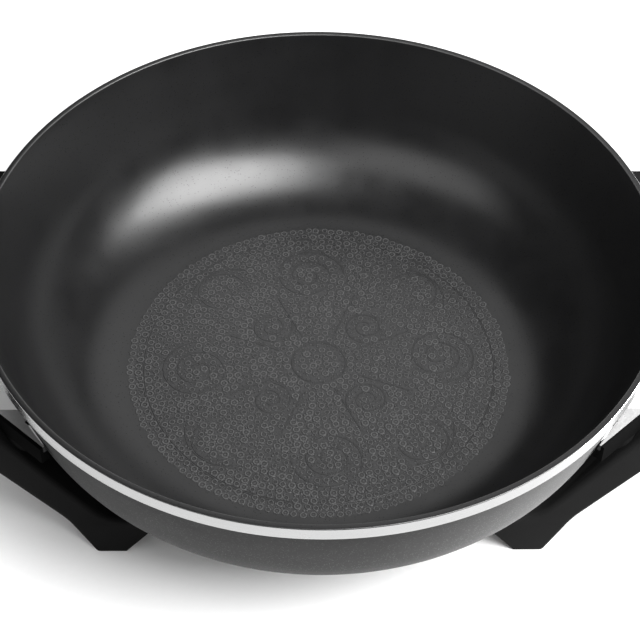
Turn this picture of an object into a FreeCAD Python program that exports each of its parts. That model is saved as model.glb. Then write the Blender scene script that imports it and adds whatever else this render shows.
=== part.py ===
import FreeCAD, Part
import math
import os
import Sketcher

# Electric wok: a cast bowl on two moulded side frames, a heating element cast under its floor and a
# plug-in thermostat control at the rear. Millimetres and degrees, +Z up. The origin lies on the table,
# on the bowl's axis. X runs through the two grips, and the control plugs in from +Y.

DIMENSIONS = [
    ("rim_radius", 180, "outside radius of the rim band"),
    ("rim_height", 127, "top of the rim above the table"),
    ("bowl_depth", 92, "rim down to the cooking floor"),
    ("wall_thickness", 4, "thickness of the cast wall"),
    ("floor_thickness", 5, "thickness of the cast floor"),
    ("wall_angle", 75, "slope of the upper wall"),
    ("corner_radius", 65, "inside radius between floor and wall"),
    ("band_height", 7.4, "height of the machined rim band"),
    ("band_step", 1, "how far the band stands proud of the wall"),
    ("lip_round", 0.7, "rounding of the rim's two edges"),
    ("handle_drop", 32, "rim down to the tops of ears and grips"),
    ("ear_thickness", 4, "thickness of a cast ear"),
    ("ear_setback", 5.2, "ear's straight edge outside the leg's inner face"),
    ("ear_inset", 16.5, "ear's outer corner inside the rim radius"),
    ("ear_length", 24, "ear's tip beyond its straight edge, along Y"),
    ("ear_root", 8, "closed end of the slot beyond the straight edge, along Y"),
    ("slot_width", 0.9, "gap between wall and ear"),
    ("ear_tip_width", 0.9, "ear's tip outside the slot"),
    ("slot_hole_radius", 1.2, "relief hole at the closed end of the slot"),
    ("ear_boss_radius", 3.7, "boss under the ear"),
    ("ear_boss_length", 7, "boss below the ear's underside"),
    ("ear_screw_edge", 9.7, "ear screw inside the ear's outer corner, along X"),
    ("tray_wall", 1.6, "frame's wall round the ear's outer edge"),
    ("tray_gap", 0.4, "room between the ear and the frame round it"),
    ("tray_clear", 1.2, "frame's ear tray clear of the bowl's wall"),
    ("foot_inset", 76.6, "foot's inner edge inside the rim radius"),
    ("foot_width", 17, "foot's flat underside, along X"),
    ("foot_front", 103, "foot's outer face from the middle plane"),
    ("leg_inner", 78, "leg's inner face from the middle plane"),
    ("lean_angle", 5.2, "lean of the leg's outer face"),
    ("shin_angle", 62, "slope of the leg's lower stretch"),
    ("arm_lower_angle", 48.5, "slope of the arm's underside"),
    ("arm_upper_angle", 51.5, "slope of the arm's top"),
    ("arm_depth", 25.4, "upright depth of the arm at the shin"),
    ("arm_skin", 6, "upright skin left round the coring"),
    ("core_depth", 9, "depth of the coring pockets"),
    ("core_rib", 3, "rib between two coring pockets"),
    ("core_length", 10, "length of a coring pocket along X"),
    ("grip_gap", 26, "finger space from the rim to the grip"),
    ("grip_width", 24, "grip, along X"),
    ("grip_depth", 18, "grip, top to bottom"),
    ("grip_corner", 26, "outside corner of the grip, seen from above"),
    ("finger_corner", 12, "inside corner of the finger opening"),
    ("edge_round", 3, "rounding of the frame's long edges"),
    ("hook_drop", 6, "bowl's underside down to the seat of its leg bosses"),
    ("hook_reach", 19.4, "hook inward from the foot's inner edge"),
    ("hook_tip", 1.3, "thickness of the hook at its inner end"),
    ("hook_screw_reach", 10.4, "hook screw inward from the foot's inner edge"),
    ("hook_screw_setback", 10, "hook screw outside the leg's inner face"),
    ("leg_boss_radius", 6, "boss that seats on a hook"),
    ("pad_proud", 0.5, "foot pad below the foot"),
    ("pad_depth", 1.6, "foot pad sunk into the foot"),
    ("pad_margin", 3, "foot pad inside the foot's edges"),
    ("screw_radius", 1.75, "ear screw shank"),
    ("hook_shank_radius", 2, "hook and guard screw shank"),
    ("screw_clearance", 0.25, "clearance hole beyond a shank"),
    ("thread_clearance", 0.05, "tapped hole beyond a shank"),
    ("head_radius", 3.3, "screw head"),
    ("head_height", 2.4, "screw head height"),
    ("head_clearance", 0.6, "counterbore beyond a head"),
    ("screw_bite", 8, "screw length in its tapped boss"),
    ("ear_screw_grip", 14, "frame clamped under an ear boss"),
    ("hook_screw_grip", 7.5, "frame clamped under a leg boss"),
    ("element_inset", 110, "element's ring inside the rim radius"),
    ("element_radius", 3.4, "sheath of the heating element"),
    ("element_bend", 10, "bend where the element leaves its ring"),
    ("element_fit", 0.15, "channel beyond the sheath"),
    ("rib_width", 16, "cast rib that holds the element"),
    ("probe_drop", 9.5, "bowl's underside down to the probe's axis"),
    ("terminal_spread", 15, "terminal pin from the probe"),
    ("socket_inset", 96, "guard's front wall inside the rim radius"),
    ("socket_depth", 32, "guard, front wall to mouth"),
    ("sheath_reach", 4, "element's sheath beyond the guard's front wall"),
    ("bead_length", 5, "ceramic bead on a terminal"),
    ("bead_radius", 4, "ceramic bead radius"),
    ("pin_radius", 2.4, "terminal pin"),
    ("pin_length", 32, "terminal pin beyond the sheath"),
    ("pin_tip", 1.2, "chamfer on the tip of a pin"),
    ("guard_half_width", 31, "guard, half its width"),
    ("sheet", 1.1, "sheet steel of the guard"),
    ("guard_corner", 4, "guard's corner radius"),
    ("tab_length", 14, "guard's screw tab, out from its side"),
    ("tab_width", 14, "guard's screw tab, along Y"),
    ("tab_drop", 4, "guard's screw tab below the bowl's underside"),
    ("tab_place", 15, "middle of the screw tab behind the guard's front wall"),
    ("tab_boss_radius", 5, "bowl's boss for a guard screw"),
    ("probe_radius", 3.175, "probe rod"),
    ("probe_fit", 0.09, "probe bore beyond the rod"),
    ("probe_reach", 34, "probe's tip ahead of the guard's front wall"),
    ("probe_boss_length", 48, "probe boss ahead of the guard's front wall"),
    ("probe_boss_half", 7.5, "probe boss, half its width"),
    ("nose_depth", 9, "nose inside the guard's mouth"),
    ("nose_length", 13, "nose, face to body"),
    ("nose_gap", 0.6, "nose inside the guard, each side"),
    ("control_length", 48, "control's body along Y"),
    ("control_half_width", 32, "control's body, half its width"),
    ("control_corner", 9, "corner of the control, seen from above"),
    ("control_top", 9.5, "control's body above the probe's axis"),
    ("control_bottom", 15.5, "control's body below the probe's axis"),
    ("control_edge", 2.5, "rounding of the control's edges"),
    ("shell", 2, "wall of the control's housing"),
    ("fit", 0.1, "clearance of parts set into each other"),
    ("face_plate", 1.2, "thickness of the face plate"),
    ("face_plate_half", 22, "face plate, half its width"),
    ("face_plate_rise", 7, "face plate, half its height"),
    ("sleeve_radius", 3.9, "contact sleeve outside"),
    ("sleeve_length", 22.2, "contact sleeve"),
    ("housing_screw_inset", 8, "housing screw in from side and rear"),
    ("housing_boss_radius", 3.6, "housing's screw boss"),
    ("housing_shank_radius", 1.4, "housing screw shank"),
    ("housing_head_radius", 2.6, "housing screw head"),
    ("housing_head_height", 1.8, "housing screw head height"),
    ("bracket_half_width", 7, "thermostat frame, half its width"),
    ("bracket_sheet", 1.5, "thermostat frame sheet"),
    ("bracket_length", 28, "thermostat frame along Y"),
    ("bracket_top", 6, "thermostat frame above the probe's axis"),
    ("bimetal_width", 6, "bimetal strip width"),
    ("bimetal_sheet", 0.8, "bimetal strip thickness"),
    ("bimetal_length", 24, "bimetal strip length"),
    ("leaf_sheet", 0.5, "switch leaf thickness"),
    ("leaf_width", 5, "switch leaf width"),
    ("leaf_length", 20, "switch leaf length"),
    ("insulator_height", 3, "ceramic spacer height"),
    ("insulator_length", 8, "ceramic spacer length"),
    ("push_pin_radius", 1.2, "ceramic push pin"),
    ("shaft_radius", 3, "dial shaft"),
    ("shaft_fit", 0.08, "running clearance of the dial shaft"),
    ("shaft_reach", 22, "dial shaft inside the control's body"),
    ("dial_gap", 0.4, "gap behind the dial"),
    ("dial_radius", 16.5, "dial outside"),
    ("dial_depth", 11, "dial thickness"),
    ("dial_skirt", 3, "thickness of the dial's skirt"),
    ("dial_grip_radius", 12.5, "dial's fluted grip"),
    ("dial_flutes", 18, "flutes round the dial"),
    ("flute_radius", 1.6, "radius of a flute"),
    ("pointer_width", 2.4, "dial's pointer ridge"),
    ("lens_radius", 3.5, "pilot lamp lens"),
    ("lens_flange", 1, "lens flange above the housing"),
    ("lamp_radius", 2.6, "pilot lamp"),
    ("lamp_length", 6, "pilot lamp length"),
    ("lamp_side", 19, "pilot lamp from the middle plane"),
    ("gland_radius", 4.6, "cord gland body"),
    ("gland_flange", 6.4, "cord gland flange radius"),
    ("gland_length", 7, "cord gland outside the housing"),
    ("gland_bore", 3.4, "cord hole in the gland"),
    ("gland_inset", 22, "cord gland and lamp ahead of the control's rear"),
]


class Size:
    """A number together with the sheet expression that gives it."""

    def __init__(self, value, text):
        self.value = float(value)
        self.text = text

    def __add__(self, other):
        return Size(self.value + number(other), "(%s + %s)" % (self.text, words(other)))

    def __radd__(self, other):
        return Size(number(other) + self.value, "(%s + %s)" % (words(other), self.text))

    def __sub__(self, other):
        return Size(self.value - number(other), "(%s - %s)" % (self.text, words(other)))

    def __rsub__(self, other):
        return Size(number(other) - self.value, "(%s - %s)" % (words(other), self.text))

    def __mul__(self, other):
        return Size(self.value * number(other), "(%s * %s)" % (self.text, words(other)))

    def __rmul__(self, other):
        return Size(number(other) * self.value, "(%s * %s)" % (words(other), self.text))

    def __truediv__(self, other):
        return Size(self.value / number(other), "(%s / %s)" % (self.text, words(other)))

    def __rtruediv__(self, other):
        return Size(number(other) / self.value, "(%s / %s)" % (words(other), self.text))

    def __neg__(self):
        return Size(-self.value, "(0 - %s)" % self.text)


def number(item):
    return item.value if isinstance(item, Size) else float(item)


def words(item):
    return item.text if isinstance(item, Size) else repr(item)


def sine(angle):
    return Size(math.sin(math.radians(angle.value)), "sin(%s)" % angle.text)


def cosine(angle):
    return Size(math.cos(math.radians(angle.value)), "cos(%s)" % angle.text)


def tangent(angle):
    return Size(math.tan(math.radians(angle.value)), "tan(%s)" % angle.text)


def arcsine(size):
    """Direction in degrees whose sine is the size."""
    return Size(math.degrees(math.asin(size.value)), "(asin(%s) / 1 deg)" % size.text)


def root(size):
    return Size(math.sqrt(size.value), "sqrt(%s)" % size.text)


def make_sheet(doc):
    """Write the driving dimensions into the sheet, and give each back as a Size."""
    sheet = doc.addObject("Spreadsheet::Sheet", "sizes")
    table = {}
    for row, (alias, value, meaning) in enumerate(DIMENSIONS, start=1):
        sheet.set("A%d" % row, str(value))
        sheet.setAlias("A%d" % row, alias)
        sheet.set("B%d" % row, meaning)
        table[alias] = Size(value, "sizes.%s" % alias)
    doc.recompute()
    return table


class Plan:
    """The driving sizes, and the places worked out from them that several pieces share."""

    def __init__(self, table):
        self.__dict__.update(table)
        self.wall_top = self.rim_radius - self.band_step
        self.band_bottom = self.rim_height - self.band_height
        self.floor_top = self.rim_height - self.bowl_depth
        self.floor_bottom = self.floor_top - self.floor_thickness
        self.handle_top = self.rim_height - self.handle_drop
        self.probe_height = self.floor_bottom - self.probe_drop
        # ears
        self.ear_edge = self.leg_inner + self.ear_setback
        self.ear_corner = self.rim_radius - self.ear_inset
        self.ear_bottom = self.handle_top - self.ear_thickness
        self.ear_seat = self.ear_bottom - self.ear_boss_length
        self.ear_wall = self.wall_radius(self.ear_bottom)
        self.slot_radius = self.ear_wall + self.slot_hole_radius
        self.slot_angle = arcsine((self.ear_edge + self.ear_root) / self.slot_radius)
        self.tip_radius = self.wall_radius(self.handle_top) + self.slot_width + self.ear_tip_width
        self.tip_angle = arcsine((self.ear_edge + self.ear_length) / self.tip_radius)
        self.ear_screw_x = self.ear_corner - self.ear_screw_edge
        self.ear_screw_y = self.ear_edge + self.ear_boss_radius
        # frames
        self.foot_inner = self.rim_radius - self.foot_inset
        self.foot_outer = self.foot_inner + self.foot_width
        self.hook_rise = self.floor_bottom - self.hook_drop
        self.shin_top_x = self.foot_outer + (self.hook_rise - self.pad_proud) / tangent(self.shin_angle)
        self.grip_inner = self.rim_radius + self.grip_gap
        self.grip_outer = self.grip_inner + self.grip_width
        self.grip_bottom = self.handle_top - self.grip_depth
        self.hook_end = self.foot_inner - self.hook_reach
        self.hook_screw_x = self.foot_inner - self.hook_screw_reach
        self.hook_screw_y = self.leg_inner + self.hook_screw_setback
        # element, socket and control, one after the other along Y
        self.element_ring = self.rim_radius - self.element_inset
        self.socket_start = self.rim_radius - self.socket_inset
        self.socket_end = self.socket_start + self.socket_depth
        self.tab_middle = self.socket_start + self.tab_place
        self.sheath_end = self.socket_start + self.sheath_reach
        self.probe_tip = self.socket_start - self.probe_reach
        self.nose_start = self.socket_end - self.nose_depth
        self.nose_end = self.nose_start + self.nose_length
        self.control_end = self.nose_end + self.control_length
        self.sleeve_start = self.nose_start - self.face_plate
        self.shaft_tip = self.control_end - self.shaft_reach
        self.gland_place = self.control_end - self.gland_inset
        self.tab_bottom = self.floor_bottom - self.tab_drop - self.sheet
        self.tab_screw_x = self.guard_half_width + self.tab_length / 2
        self.nose_half = self.guard_half_width - self.sheet - self.nose_gap
        self.nose_rise = self.probe_drop - self.sheet - self.nose_gap
        self.control_high = self.probe_height + self.control_top
        self.control_low = self.probe_height - self.control_bottom
        self.control_floor = self.control_low + self.shell
        self.dial_start = self.control_end + self.dial_gap
        self.dial_end = self.dial_start + self.dial_depth
        self.bracket_start = self.nose_end + self.shell + self.fit * 2
        self.bracket_end = self.bracket_start + self.bracket_length
        self.housing_screw_x = self.control_half_width - self.housing_screw_inset
        self.housing_screw_y = self.control_end - self.housing_screw_inset

    def wall_radius(self, height):
        """Outside radius of the straight upper wall at a height."""
        return self.wall_top - (self.band_bottom - height) / tangent(self.wall_angle)

    def arm_under(self, x):
        """Height of the arm's underside at x."""
        return self.hook_rise + (x - self.shin_top_x) * tangent(self.arm_lower_angle)

    def arm_over(self, x):
        """Height of the arm's top at x."""
        return self.hook_rise + self.arm_depth + (x - self.shin_top_x) * tangent(self.arm_upper_angle)

    def arm_over_x(self, height):
        """Where the arm's top reaches a height."""
        rise = height - self.hook_rise - self.arm_depth
        return self.shin_top_x + rise / tangent(self.arm_upper_angle)

    def arm_under_x(self, height):
        """Where the arm's underside reaches a height."""
        return self.shin_top_x + (height - self.hook_rise) / tangent(self.arm_lower_angle)


PARTS = []


def finish(item, label):
    """Give a finished sub-part the label that names its file."""
    item.Label = label
    PARTS.append(item)
    return item


def bind(item, name, size):
    """Set a property from a size, and tie it to the sheet where the size comes from it."""
    if isinstance(size, Size):
        item.setExpression(name, size.text)
    else:
        setattr(item, name, size)


def origin_plane(body, role):
    return next(item for item in body.Origin.OriginFeatures if item.Role == role)


def new_body(doc, name):
    return doc.addObject("PartDesign::Body", name + "_body")


def new_sketch(body, role, offset=None, turn=None):
    """A sketch on one of the body's own planes, moved along the plane's normal, or turned about Z."""
    sketch = body.newObject("Sketcher::SketchObject", body.Name + "_sketch")
    sketch.AttachmentSupport = [(origin_plane(body, role), "")]
    sketch.MapMode = "FlatFace"
    if turn is not None:
        sketch.AttachmentOffset = FreeCAD.Placement(
            FreeCAD.Vector(), FreeCAD.Rotation(FreeCAD.Vector(0, 1, 0), turn.value))
        sketch.setExpression("AttachmentOffset.Rotation.Angle", turn.text)
    if offset is not None:
        sketch.setExpression("AttachmentOffset.Base.z", offset.text)
    return sketch


def hold(sketch, geometry, end, axis, size):
    """Fix one coordinate of a point, on whichever side of the origin it lies."""
    value = number(size)
    if abs(value) < 1e-9:
        axis_line = -2 if axis == "X" else -1
        sketch.addConstraint(Sketcher.Constraint("PointOnObject", geometry, end, axis_line))
        return
    kind = "Distance" + axis
    if value > 0:
        index = sketch.addConstraint(Sketcher.Constraint(kind, -1, 1, geometry, end, value))
        text = words(size)
    else:
        index = sketch.addConstraint(Sketcher.Constraint(kind, geometry, end, -1, 1, -value))
        text = "0 - %s" % words(size)
    if isinstance(size, Size):
        sketch.setExpression("Constraints[%d]" % index, text)


def hold_radius(sketch, geometry, size):
    index = sketch.addConstraint(Sketcher.Constraint("Radius", geometry, number(size)))
    if isinstance(size, Size):
        sketch.setExpression("Constraints[%d]" % index, size.text)


def add_circle(sketch, x, y, radius):
    centre = FreeCAD.Vector(number(x), number(y), 0)
    circle = sketch.addGeometry(Part.Circle(centre, FreeCAD.Vector(0, 0, 1), number(radius)))
    hold(sketch, circle, 3, "X", x)
    hold(sketch, circle, 3, "Y", y)
    hold_radius(sketch, circle, radius)
    return circle


def add_outline(sketch, corners):
    """A closed outline of straight runs. A corner is (x, y), or (x, y, radius) where it is rounded."""
    points = [FreeCAD.Vector(number(corner[0]), number(corner[1]), 0) for corner in corners]
    count = len(points)
    arcs = []
    for index, corner in enumerate(corners):
        arcs.append(None)
        if len(corner) == 3:
            arcs[index] = corner_arc(points[index - 1], points[index], points[(index + 1) % count],
                                     number(corner[2]))
    lines = []
    for index in range(count):
        after = (index + 1) % count
        start = arcs[index]["leave"] if arcs[index] else points[index]
        stop = arcs[after]["enter"] if arcs[after] else points[after]
        lines.append(sketch.addGeometry(Part.LineSegment(start, stop)))
    for index, corner in enumerate(corners):
        before = lines[index - 1]
        after = lines[index]
        if arcs[index] is None:
            sketch.addConstraint(Sketcher.Constraint("Coincident", before, 2, after, 1))
            hold(sketch, after, 1, "X", corner[0])
            hold(sketch, after, 1, "Y", corner[1])
        else:
            round_corner(sketch, before, after, arcs[index], points[index], corner)


def corner_arc(before, point, after, radius):
    """The arc that rounds a corner: where it starts and ends, and which way it turns."""
    back = (before - point).normalize()
    ahead = (after - point).normalize()
    half = back.getAngle(ahead) / 2
    reach = radius / math.tan(half)
    enter = point + back * reach
    leave = point + ahead * reach
    centre = point + (back + ahead).normalize() * (radius / math.sin(half))
    left_turn = back.cross(ahead).z < 0
    first, last = (enter, leave) if left_turn else (leave, enter)
    circle = Part.Circle(centre, FreeCAD.Vector(0, 0, 1), radius)
    start_angle = math.atan2(first.y - centre.y, first.x - centre.x)
    stop_angle = math.atan2(last.y - centre.y, last.x - centre.x)
    arc = Part.ArcOfCircle(circle, start_angle, stop_angle)
    return {"enter": enter, "leave": leave, "arc": arc, "left_turn": left_turn}


def round_corner(sketch, before, after, made, point, corner):
    """Add a corner's arc, tangent to both runs, and hold the point where the runs would meet."""
    arc = sketch.addGeometry(made["arc"])
    enter_end, leave_end = (1, 2) if made["left_turn"] else (2, 1)
    sketch.addConstraint(Sketcher.Constraint("Tangent", before, 2, arc, enter_end))
    sketch.addConstraint(Sketcher.Constraint("Tangent", arc, leave_end, after, 1))
    hold_radius(sketch, arc, corner[2])
    mark = sketch.addGeometry(Part.Point(point), True)
    sketch.addConstraint(Sketcher.Constraint("PointOnObject", mark, 1, before))
    sketch.addConstraint(Sketcher.Constraint("PointOnObject", mark, 1, after))
    hold(sketch, mark, 1, "X", corner[0])
    hold(sketch, mark, 1, "Y", corner[1])


def add_rectangle(sketch, left, right, low, high, radius=None):
    corners = [(left, low), (right, low), (right, high), (left, high)]
    if radius is not None:
        corners = [(x, y, radius) for x, y in corners]
    add_outline(sketch, corners)


def pad(body, sketch, length, symmetric=False, reverse=False):
    """Add material along the sketch's normal."""
    feature = body.newObject("PartDesign::Pad", body.Name + "_pad")
    feature.Profile = sketch
    if symmetric:
        feature.SideType = "Symmetric"
    feature.Reversed = reverse
    bind(feature, "Length", length)
    return feature


def pocket(body, sketch, length, symmetric=False, along_normal=False):
    """Cut along the sketch's normal or against it, or both ways when symmetric."""
    feature = body.newObject("PartDesign::Pocket", body.Name + "_pocket")
    feature.Profile = sketch
    if symmetric:
        feature.SideType = "Symmetric"
    feature.Reversed = along_normal
    bind(feature, "Length", length)
    return feature


def revolve(body, sketch):
    feature = body.newObject("PartDesign::Revolution", body.Name + "_revolution")
    feature.Profile = sketch
    feature.ReferenceAxis = (sketch, ["V_Axis"])
    feature.Angle = 360
    return feature


def groove(body, sketch, angle=None):
    """Cut by a turn about the sketch's upright axis."""
    feature = body.newObject("PartDesign::Groove", body.Name + "_groove")
    feature.Profile = sketch
    feature.ReferenceAxis = (sketch, ["V_Axis"])
    if angle is None:
        feature.Angle = 360
    else:
        feature.setExpression("Angle", angle.text)
    return feature


def round_edges(body, base, radius, wanted):
    """Fillet every edge of the base that the test accepts."""
    body.Document.recompute()
    names = ["Edge%d" % index for index, edge in enumerate(base.Shape.Edges, start=1) if wanted(edge)]
    if not names:
        raise RuntimeError("no edge to round on " + body.Name)
    feature = body.newObject("PartDesign::Fillet", body.Name + "_fillet")
    feature.Base = (base, names)
    bind(feature, "Radius", radius)
    return feature


def four_ways():
    return [(along, across) for along in (1, -1) for across in (1, -1)]


# ---------------------------------------------------------------------------------------- bowl


def build_bowl(doc, plan):
    """The casting: a turned blank, its ears, bosses and element rib, then hollowed from the top."""
    body = new_body(doc, "wok_bowl")
    wall_base = plan.wall_top - (plan.band_bottom - plan.floor_bottom) / tangent(plan.wall_angle)
    outer_corner = plan.corner_radius + plan.wall_thickness
    blank = new_sketch(body, "XZ_Plane")
    add_outline(blank, [
        (0, plan.floor_bottom),
        (wall_base, plan.floor_bottom, outer_corner),
        (plan.wall_top, plan.band_bottom),
        (plan.rim_radius, plan.band_bottom),
        (plan.rim_radius, plan.rim_height),
        (0, plan.rim_height),
    ])
    revolve(body, blank)
    add_ears(body, plan)
    add_leg_bosses(body, plan)
    add_element_rib(body, plan)
    add_socket_bosses(body, plan)
    inner_top = plan.wall_radius(plan.rim_height) - plan.wall_thickness / sine(plan.wall_angle)
    inner_base = inner_top - plan.bowl_depth / tangent(plan.wall_angle)
    hollow = new_sketch(body, "XZ_Plane")
    add_outline(hollow, [
        (0, plan.floor_top),
        (inner_base, plan.floor_top, plan.corner_radius),
        (inner_top, plan.rim_height),
        (0, plan.rim_height),
    ])
    groove(body, hollow)
    tip = cut_bowl_holes(body, plan)
    rim_edges = lambda edge: edge.BoundBox.ZMin > plan.rim_height.value - 0.01
    round_edges(body, tip, plan.lip_round, rim_edges)
    return finish(body, "wok_bowl")


def add_ears(body, plan):
    """Four cast ears: a straight edge beside the finger opening and a tip that runs along the wall."""
    inner_radius = plan.ear_wall - plan.wall_thickness / 3
    edge_x = root(inner_radius * inner_radius - plan.ear_edge * plan.ear_edge)
    tip_along = cosine(plan.tip_angle)
    tip_across = sine(plan.tip_angle)
    ears = new_sketch(body, "XY_Plane", plan.handle_top)
    bosses = new_sketch(body, "XY_Plane", plan.ear_seat)
    for along, across in four_ways():
        add_outline(ears, [
            (along * edge_x, across * plan.ear_edge),
            (along * plan.ear_corner, across * plan.ear_edge),
            (along * plan.tip_radius * tip_along, across * plan.tip_radius * tip_across),
            (along * inner_radius * tip_along, across * inner_radius * tip_across),
        ])
        add_circle(bosses, along * plan.ear_screw_x, across * plan.ear_screw_y, plan.ear_boss_radius)
    pad(body, ears, plan.ear_thickness, reverse=True)
    pad(body, bosses, plan.ear_boss_length)


def add_leg_bosses(body, plan):
    """Bosses under the corner of the floor, down to the hooks of the frames."""
    bosses = new_sketch(body, "XY_Plane", plan.hook_rise)
    for along, across in four_ways():
        add_circle(bosses, along * plan.hook_screw_x, across * plan.hook_screw_y, plan.leg_boss_radius)
    height = plan.floor_top + plan.wall_thickness - plan.hook_rise
    pad(body, bosses, height)


def add_element_rib(body, plan):
    """The ring rib, the channel in it and the two clearances where the element leaves the ring."""
    inner = plan.element_ring - plan.rib_width / 2
    outer = plan.element_ring + plan.rib_width / 2
    bottom = plan.probe_height - plan.element_radius
    rib = new_sketch(body, "XZ_Plane")
    add_rectangle(rib, inner, outer, bottom, plan.floor_bottom + plan.floor_thickness / 2)
    revolve(body, rib)
    half = plan.element_radius + plan.element_fit
    channel = new_sketch(body, "XZ_Plane")
    roof = plan.probe_height + half
    round_roof = half - 0.05
    add_outline(channel, [
        (plan.element_ring - half, bottom - 1),
        (plan.element_ring + half, bottom - 1),
        (plan.element_ring + half, roof, round_roof),
        (plan.element_ring - half, roof, round_roof),
    ])
    groove(body, channel)
    exits = new_sketch(body, "XY_Plane", bottom)
    for along in (1, -1):
        near = along * (plan.terminal_spread - half)
        far = along * (plan.terminal_spread + plan.element_bend + half)
        left, right = (near, far) if along > 0 else (far, near)
        add_rectangle(exits, left, right, plan.element_ring - plan.rib_width / 2 + 1, outer + 1)
    pocket(body, exits, roof - bottom, along_normal=True)


def add_socket_bosses(body, plan):
    """The block that the probe enters and the two bosses for the guard's screws."""
    block = new_sketch(body, "XZ_Plane", -plan.socket_start)
    bottom = plan.probe_height - plan.probe_boss_half
    top = plan.floor_bottom + plan.floor_thickness / 2
    add_outline(block, [
        (-plan.probe_boss_half, bottom, plan.probe_boss_half * 0.9),
        (plan.probe_boss_half, bottom, plan.probe_boss_half * 0.9),
        (plan.probe_boss_half, top),
        (-plan.probe_boss_half, top),
    ])
    pad(body, block, plan.probe_boss_length)
    bosses = new_sketch(body, "XY_Plane", plan.floor_bottom - plan.tab_drop)
    for along in (1, -1):
        add_circle(bosses, along * plan.tab_screw_x, plan.tab_middle, plan.tab_boss_radius)
    pad(body, bosses, plan.tab_drop + plan.floor_thickness / 2)


def cut_bowl_holes(body, plan):
    """Tapped holes, the probe's bore, and the slots between the ears and the wall."""
    ear_holes = new_sketch(body, "XY_Plane", plan.ear_seat)
    hook_holes = new_sketch(body, "XY_Plane", plan.hook_rise)
    reliefs = new_sketch(body, "XY_Plane", plan.handle_top)
    for along, across in four_ways():
        add_circle(ear_holes, along * plan.ear_screw_x, across * plan.ear_screw_y,
                   plan.screw_radius + plan.thread_clearance)
        add_circle(hook_holes, along * plan.hook_screw_x, across * plan.hook_screw_y,
                   plan.hook_shank_radius + plan.thread_clearance)
        add_circle(reliefs, along * plan.slot_radius * cosine(plan.slot_angle),
                   across * plan.slot_radius * sine(plan.slot_angle), plan.slot_hole_radius)
    pocket(body, ear_holes, plan.screw_bite + 1, along_normal=True)
    pocket(body, hook_holes, plan.screw_bite + 1, along_normal=True)
    pocket(body, reliefs, plan.ear_thickness)
    tab_holes = new_sketch(body, "XY_Plane", plan.floor_bottom - plan.tab_drop)
    for along in (1, -1):
        add_circle(tab_holes, along * plan.tab_screw_x, plan.tab_middle,
                   plan.hook_shank_radius + plan.thread_clearance)
    pocket(body, tab_holes, plan.tab_drop + plan.floor_thickness / 2, along_normal=True)
    bore = new_sketch(body, "XZ_Plane", -plan.socket_start)
    add_circle(bore, 0, plan.probe_height, plan.probe_radius + plan.probe_fit)
    pocket(body, bore, plan.probe_reach + 1, along_normal=True)
    return cut_ear_slots(body, plan)


def cut_ear_slots(body, plan):
    """Each slot is a thin ring sector just outside the wall, open at the ear's tip."""
    low = plan.ear_bottom - 0.5
    high = plan.handle_top + 0.5
    low_radius = plan.wall_radius(low)
    high_radius = plan.wall_radius(high)
    sweep = plan.tip_angle - plan.slot_angle + 3
    starts = [
        plan.slot_angle,
        180 - plan.slot_angle - sweep,
        180 + plan.slot_angle,
        360 - plan.slot_angle - sweep,
    ]
    feature = None
    for start in starts:
        sector = new_sketch(body, "XZ_Plane", turn=start)
        add_outline(sector, [
            (low_radius, low),
            (low_radius + plan.slot_width, low),
            (high_radius + plan.slot_width, high),
            (high_radius, high),
        ])
        feature = groove(body, sector, sweep)
    return feature


# -------------------------------------------------------------------------------------- frames


def build_frame(doc, plan, name, turn):
    """One side frame: front and rear foot, leg and arm, joined by the grip. The other side is the
    same moulding turned round."""
    body = new_body(doc, name)
    side = new_sketch(body, "XZ_Plane")
    add_outline(side, frame_profile(plan))
    pad(body, side, plan.foot_front * 2, symmetric=True)
    cut_between_legs(body, plan)
    shape = cut_lean(body, plan)
    round_frame(body, plan, shape)
    add_ear_posts(body, plan)
    add_ear_trays(body, plan)
    cut_coring(body, plan)
    cut_frame_holes(body, plan)
    body.Placement = FreeCAD.Placement(
        FreeCAD.Vector(), FreeCAD.Rotation(FreeCAD.Vector(0, 0, 1), turn))
    return finish(body, name)


def frame_profile(plan):
    """Side view: foot, shin, arm and grip outside, then back along the arm's top to the hook."""
    upper_corner = plan.arm_over_x(plan.hook_rise)
    return [
        (plan.foot_inner, plan.pad_proud),
        (plan.foot_outer, plan.pad_proud),
        (plan.shin_top_x, plan.hook_rise, plan.arm_depth * 2),
        (plan.arm_under_x(plan.grip_bottom), plan.grip_bottom, plan.grip_depth),
        (plan.grip_outer, plan.grip_bottom),
        (plan.grip_outer, plan.handle_top),
        (plan.arm_over_x(plan.handle_top), plan.handle_top, plan.grip_depth * 0.8),
        (upper_corner, plan.hook_rise, plan.arm_depth),
        (plan.hook_end, plan.hook_rise),
        (plan.hook_end, plan.hook_rise - plan.hook_tip),
    ]


def cut_between_legs(body, plan):
    """The space between the two legs, from under the bowl out to the grip."""
    opening = new_sketch(body, "XY_Plane")
    start = plan.hook_end - 10
    add_outline(opening, [
        (start, -plan.leg_inner),
        (plan.grip_inner, -plan.leg_inner, plan.finger_corner),
        (plan.grip_inner, plan.leg_inner, plan.finger_corner),
        (start, plan.leg_inner),
    ])
    pocket(body, opening, plan.rim_height * 2, symmetric=True)


def cut_lean(body, plan):
    """Lean both outer faces in towards the grip."""
    high = plan.rim_height
    lean = high * tangent(plan.lean_angle)
    wedges = new_sketch(body, "YZ_Plane")
    for across in (1, -1):
        add_outline(wedges, [
            (across * plan.foot_front, 0),
            (across * (plan.foot_front + 5), 0),
            (across * (plan.foot_front + 5), high),
            (across * (plan.foot_front - lean), high),
        ])
    return pocket(body, wedges, plan.grip_outer * 3, symmetric=True)


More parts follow.
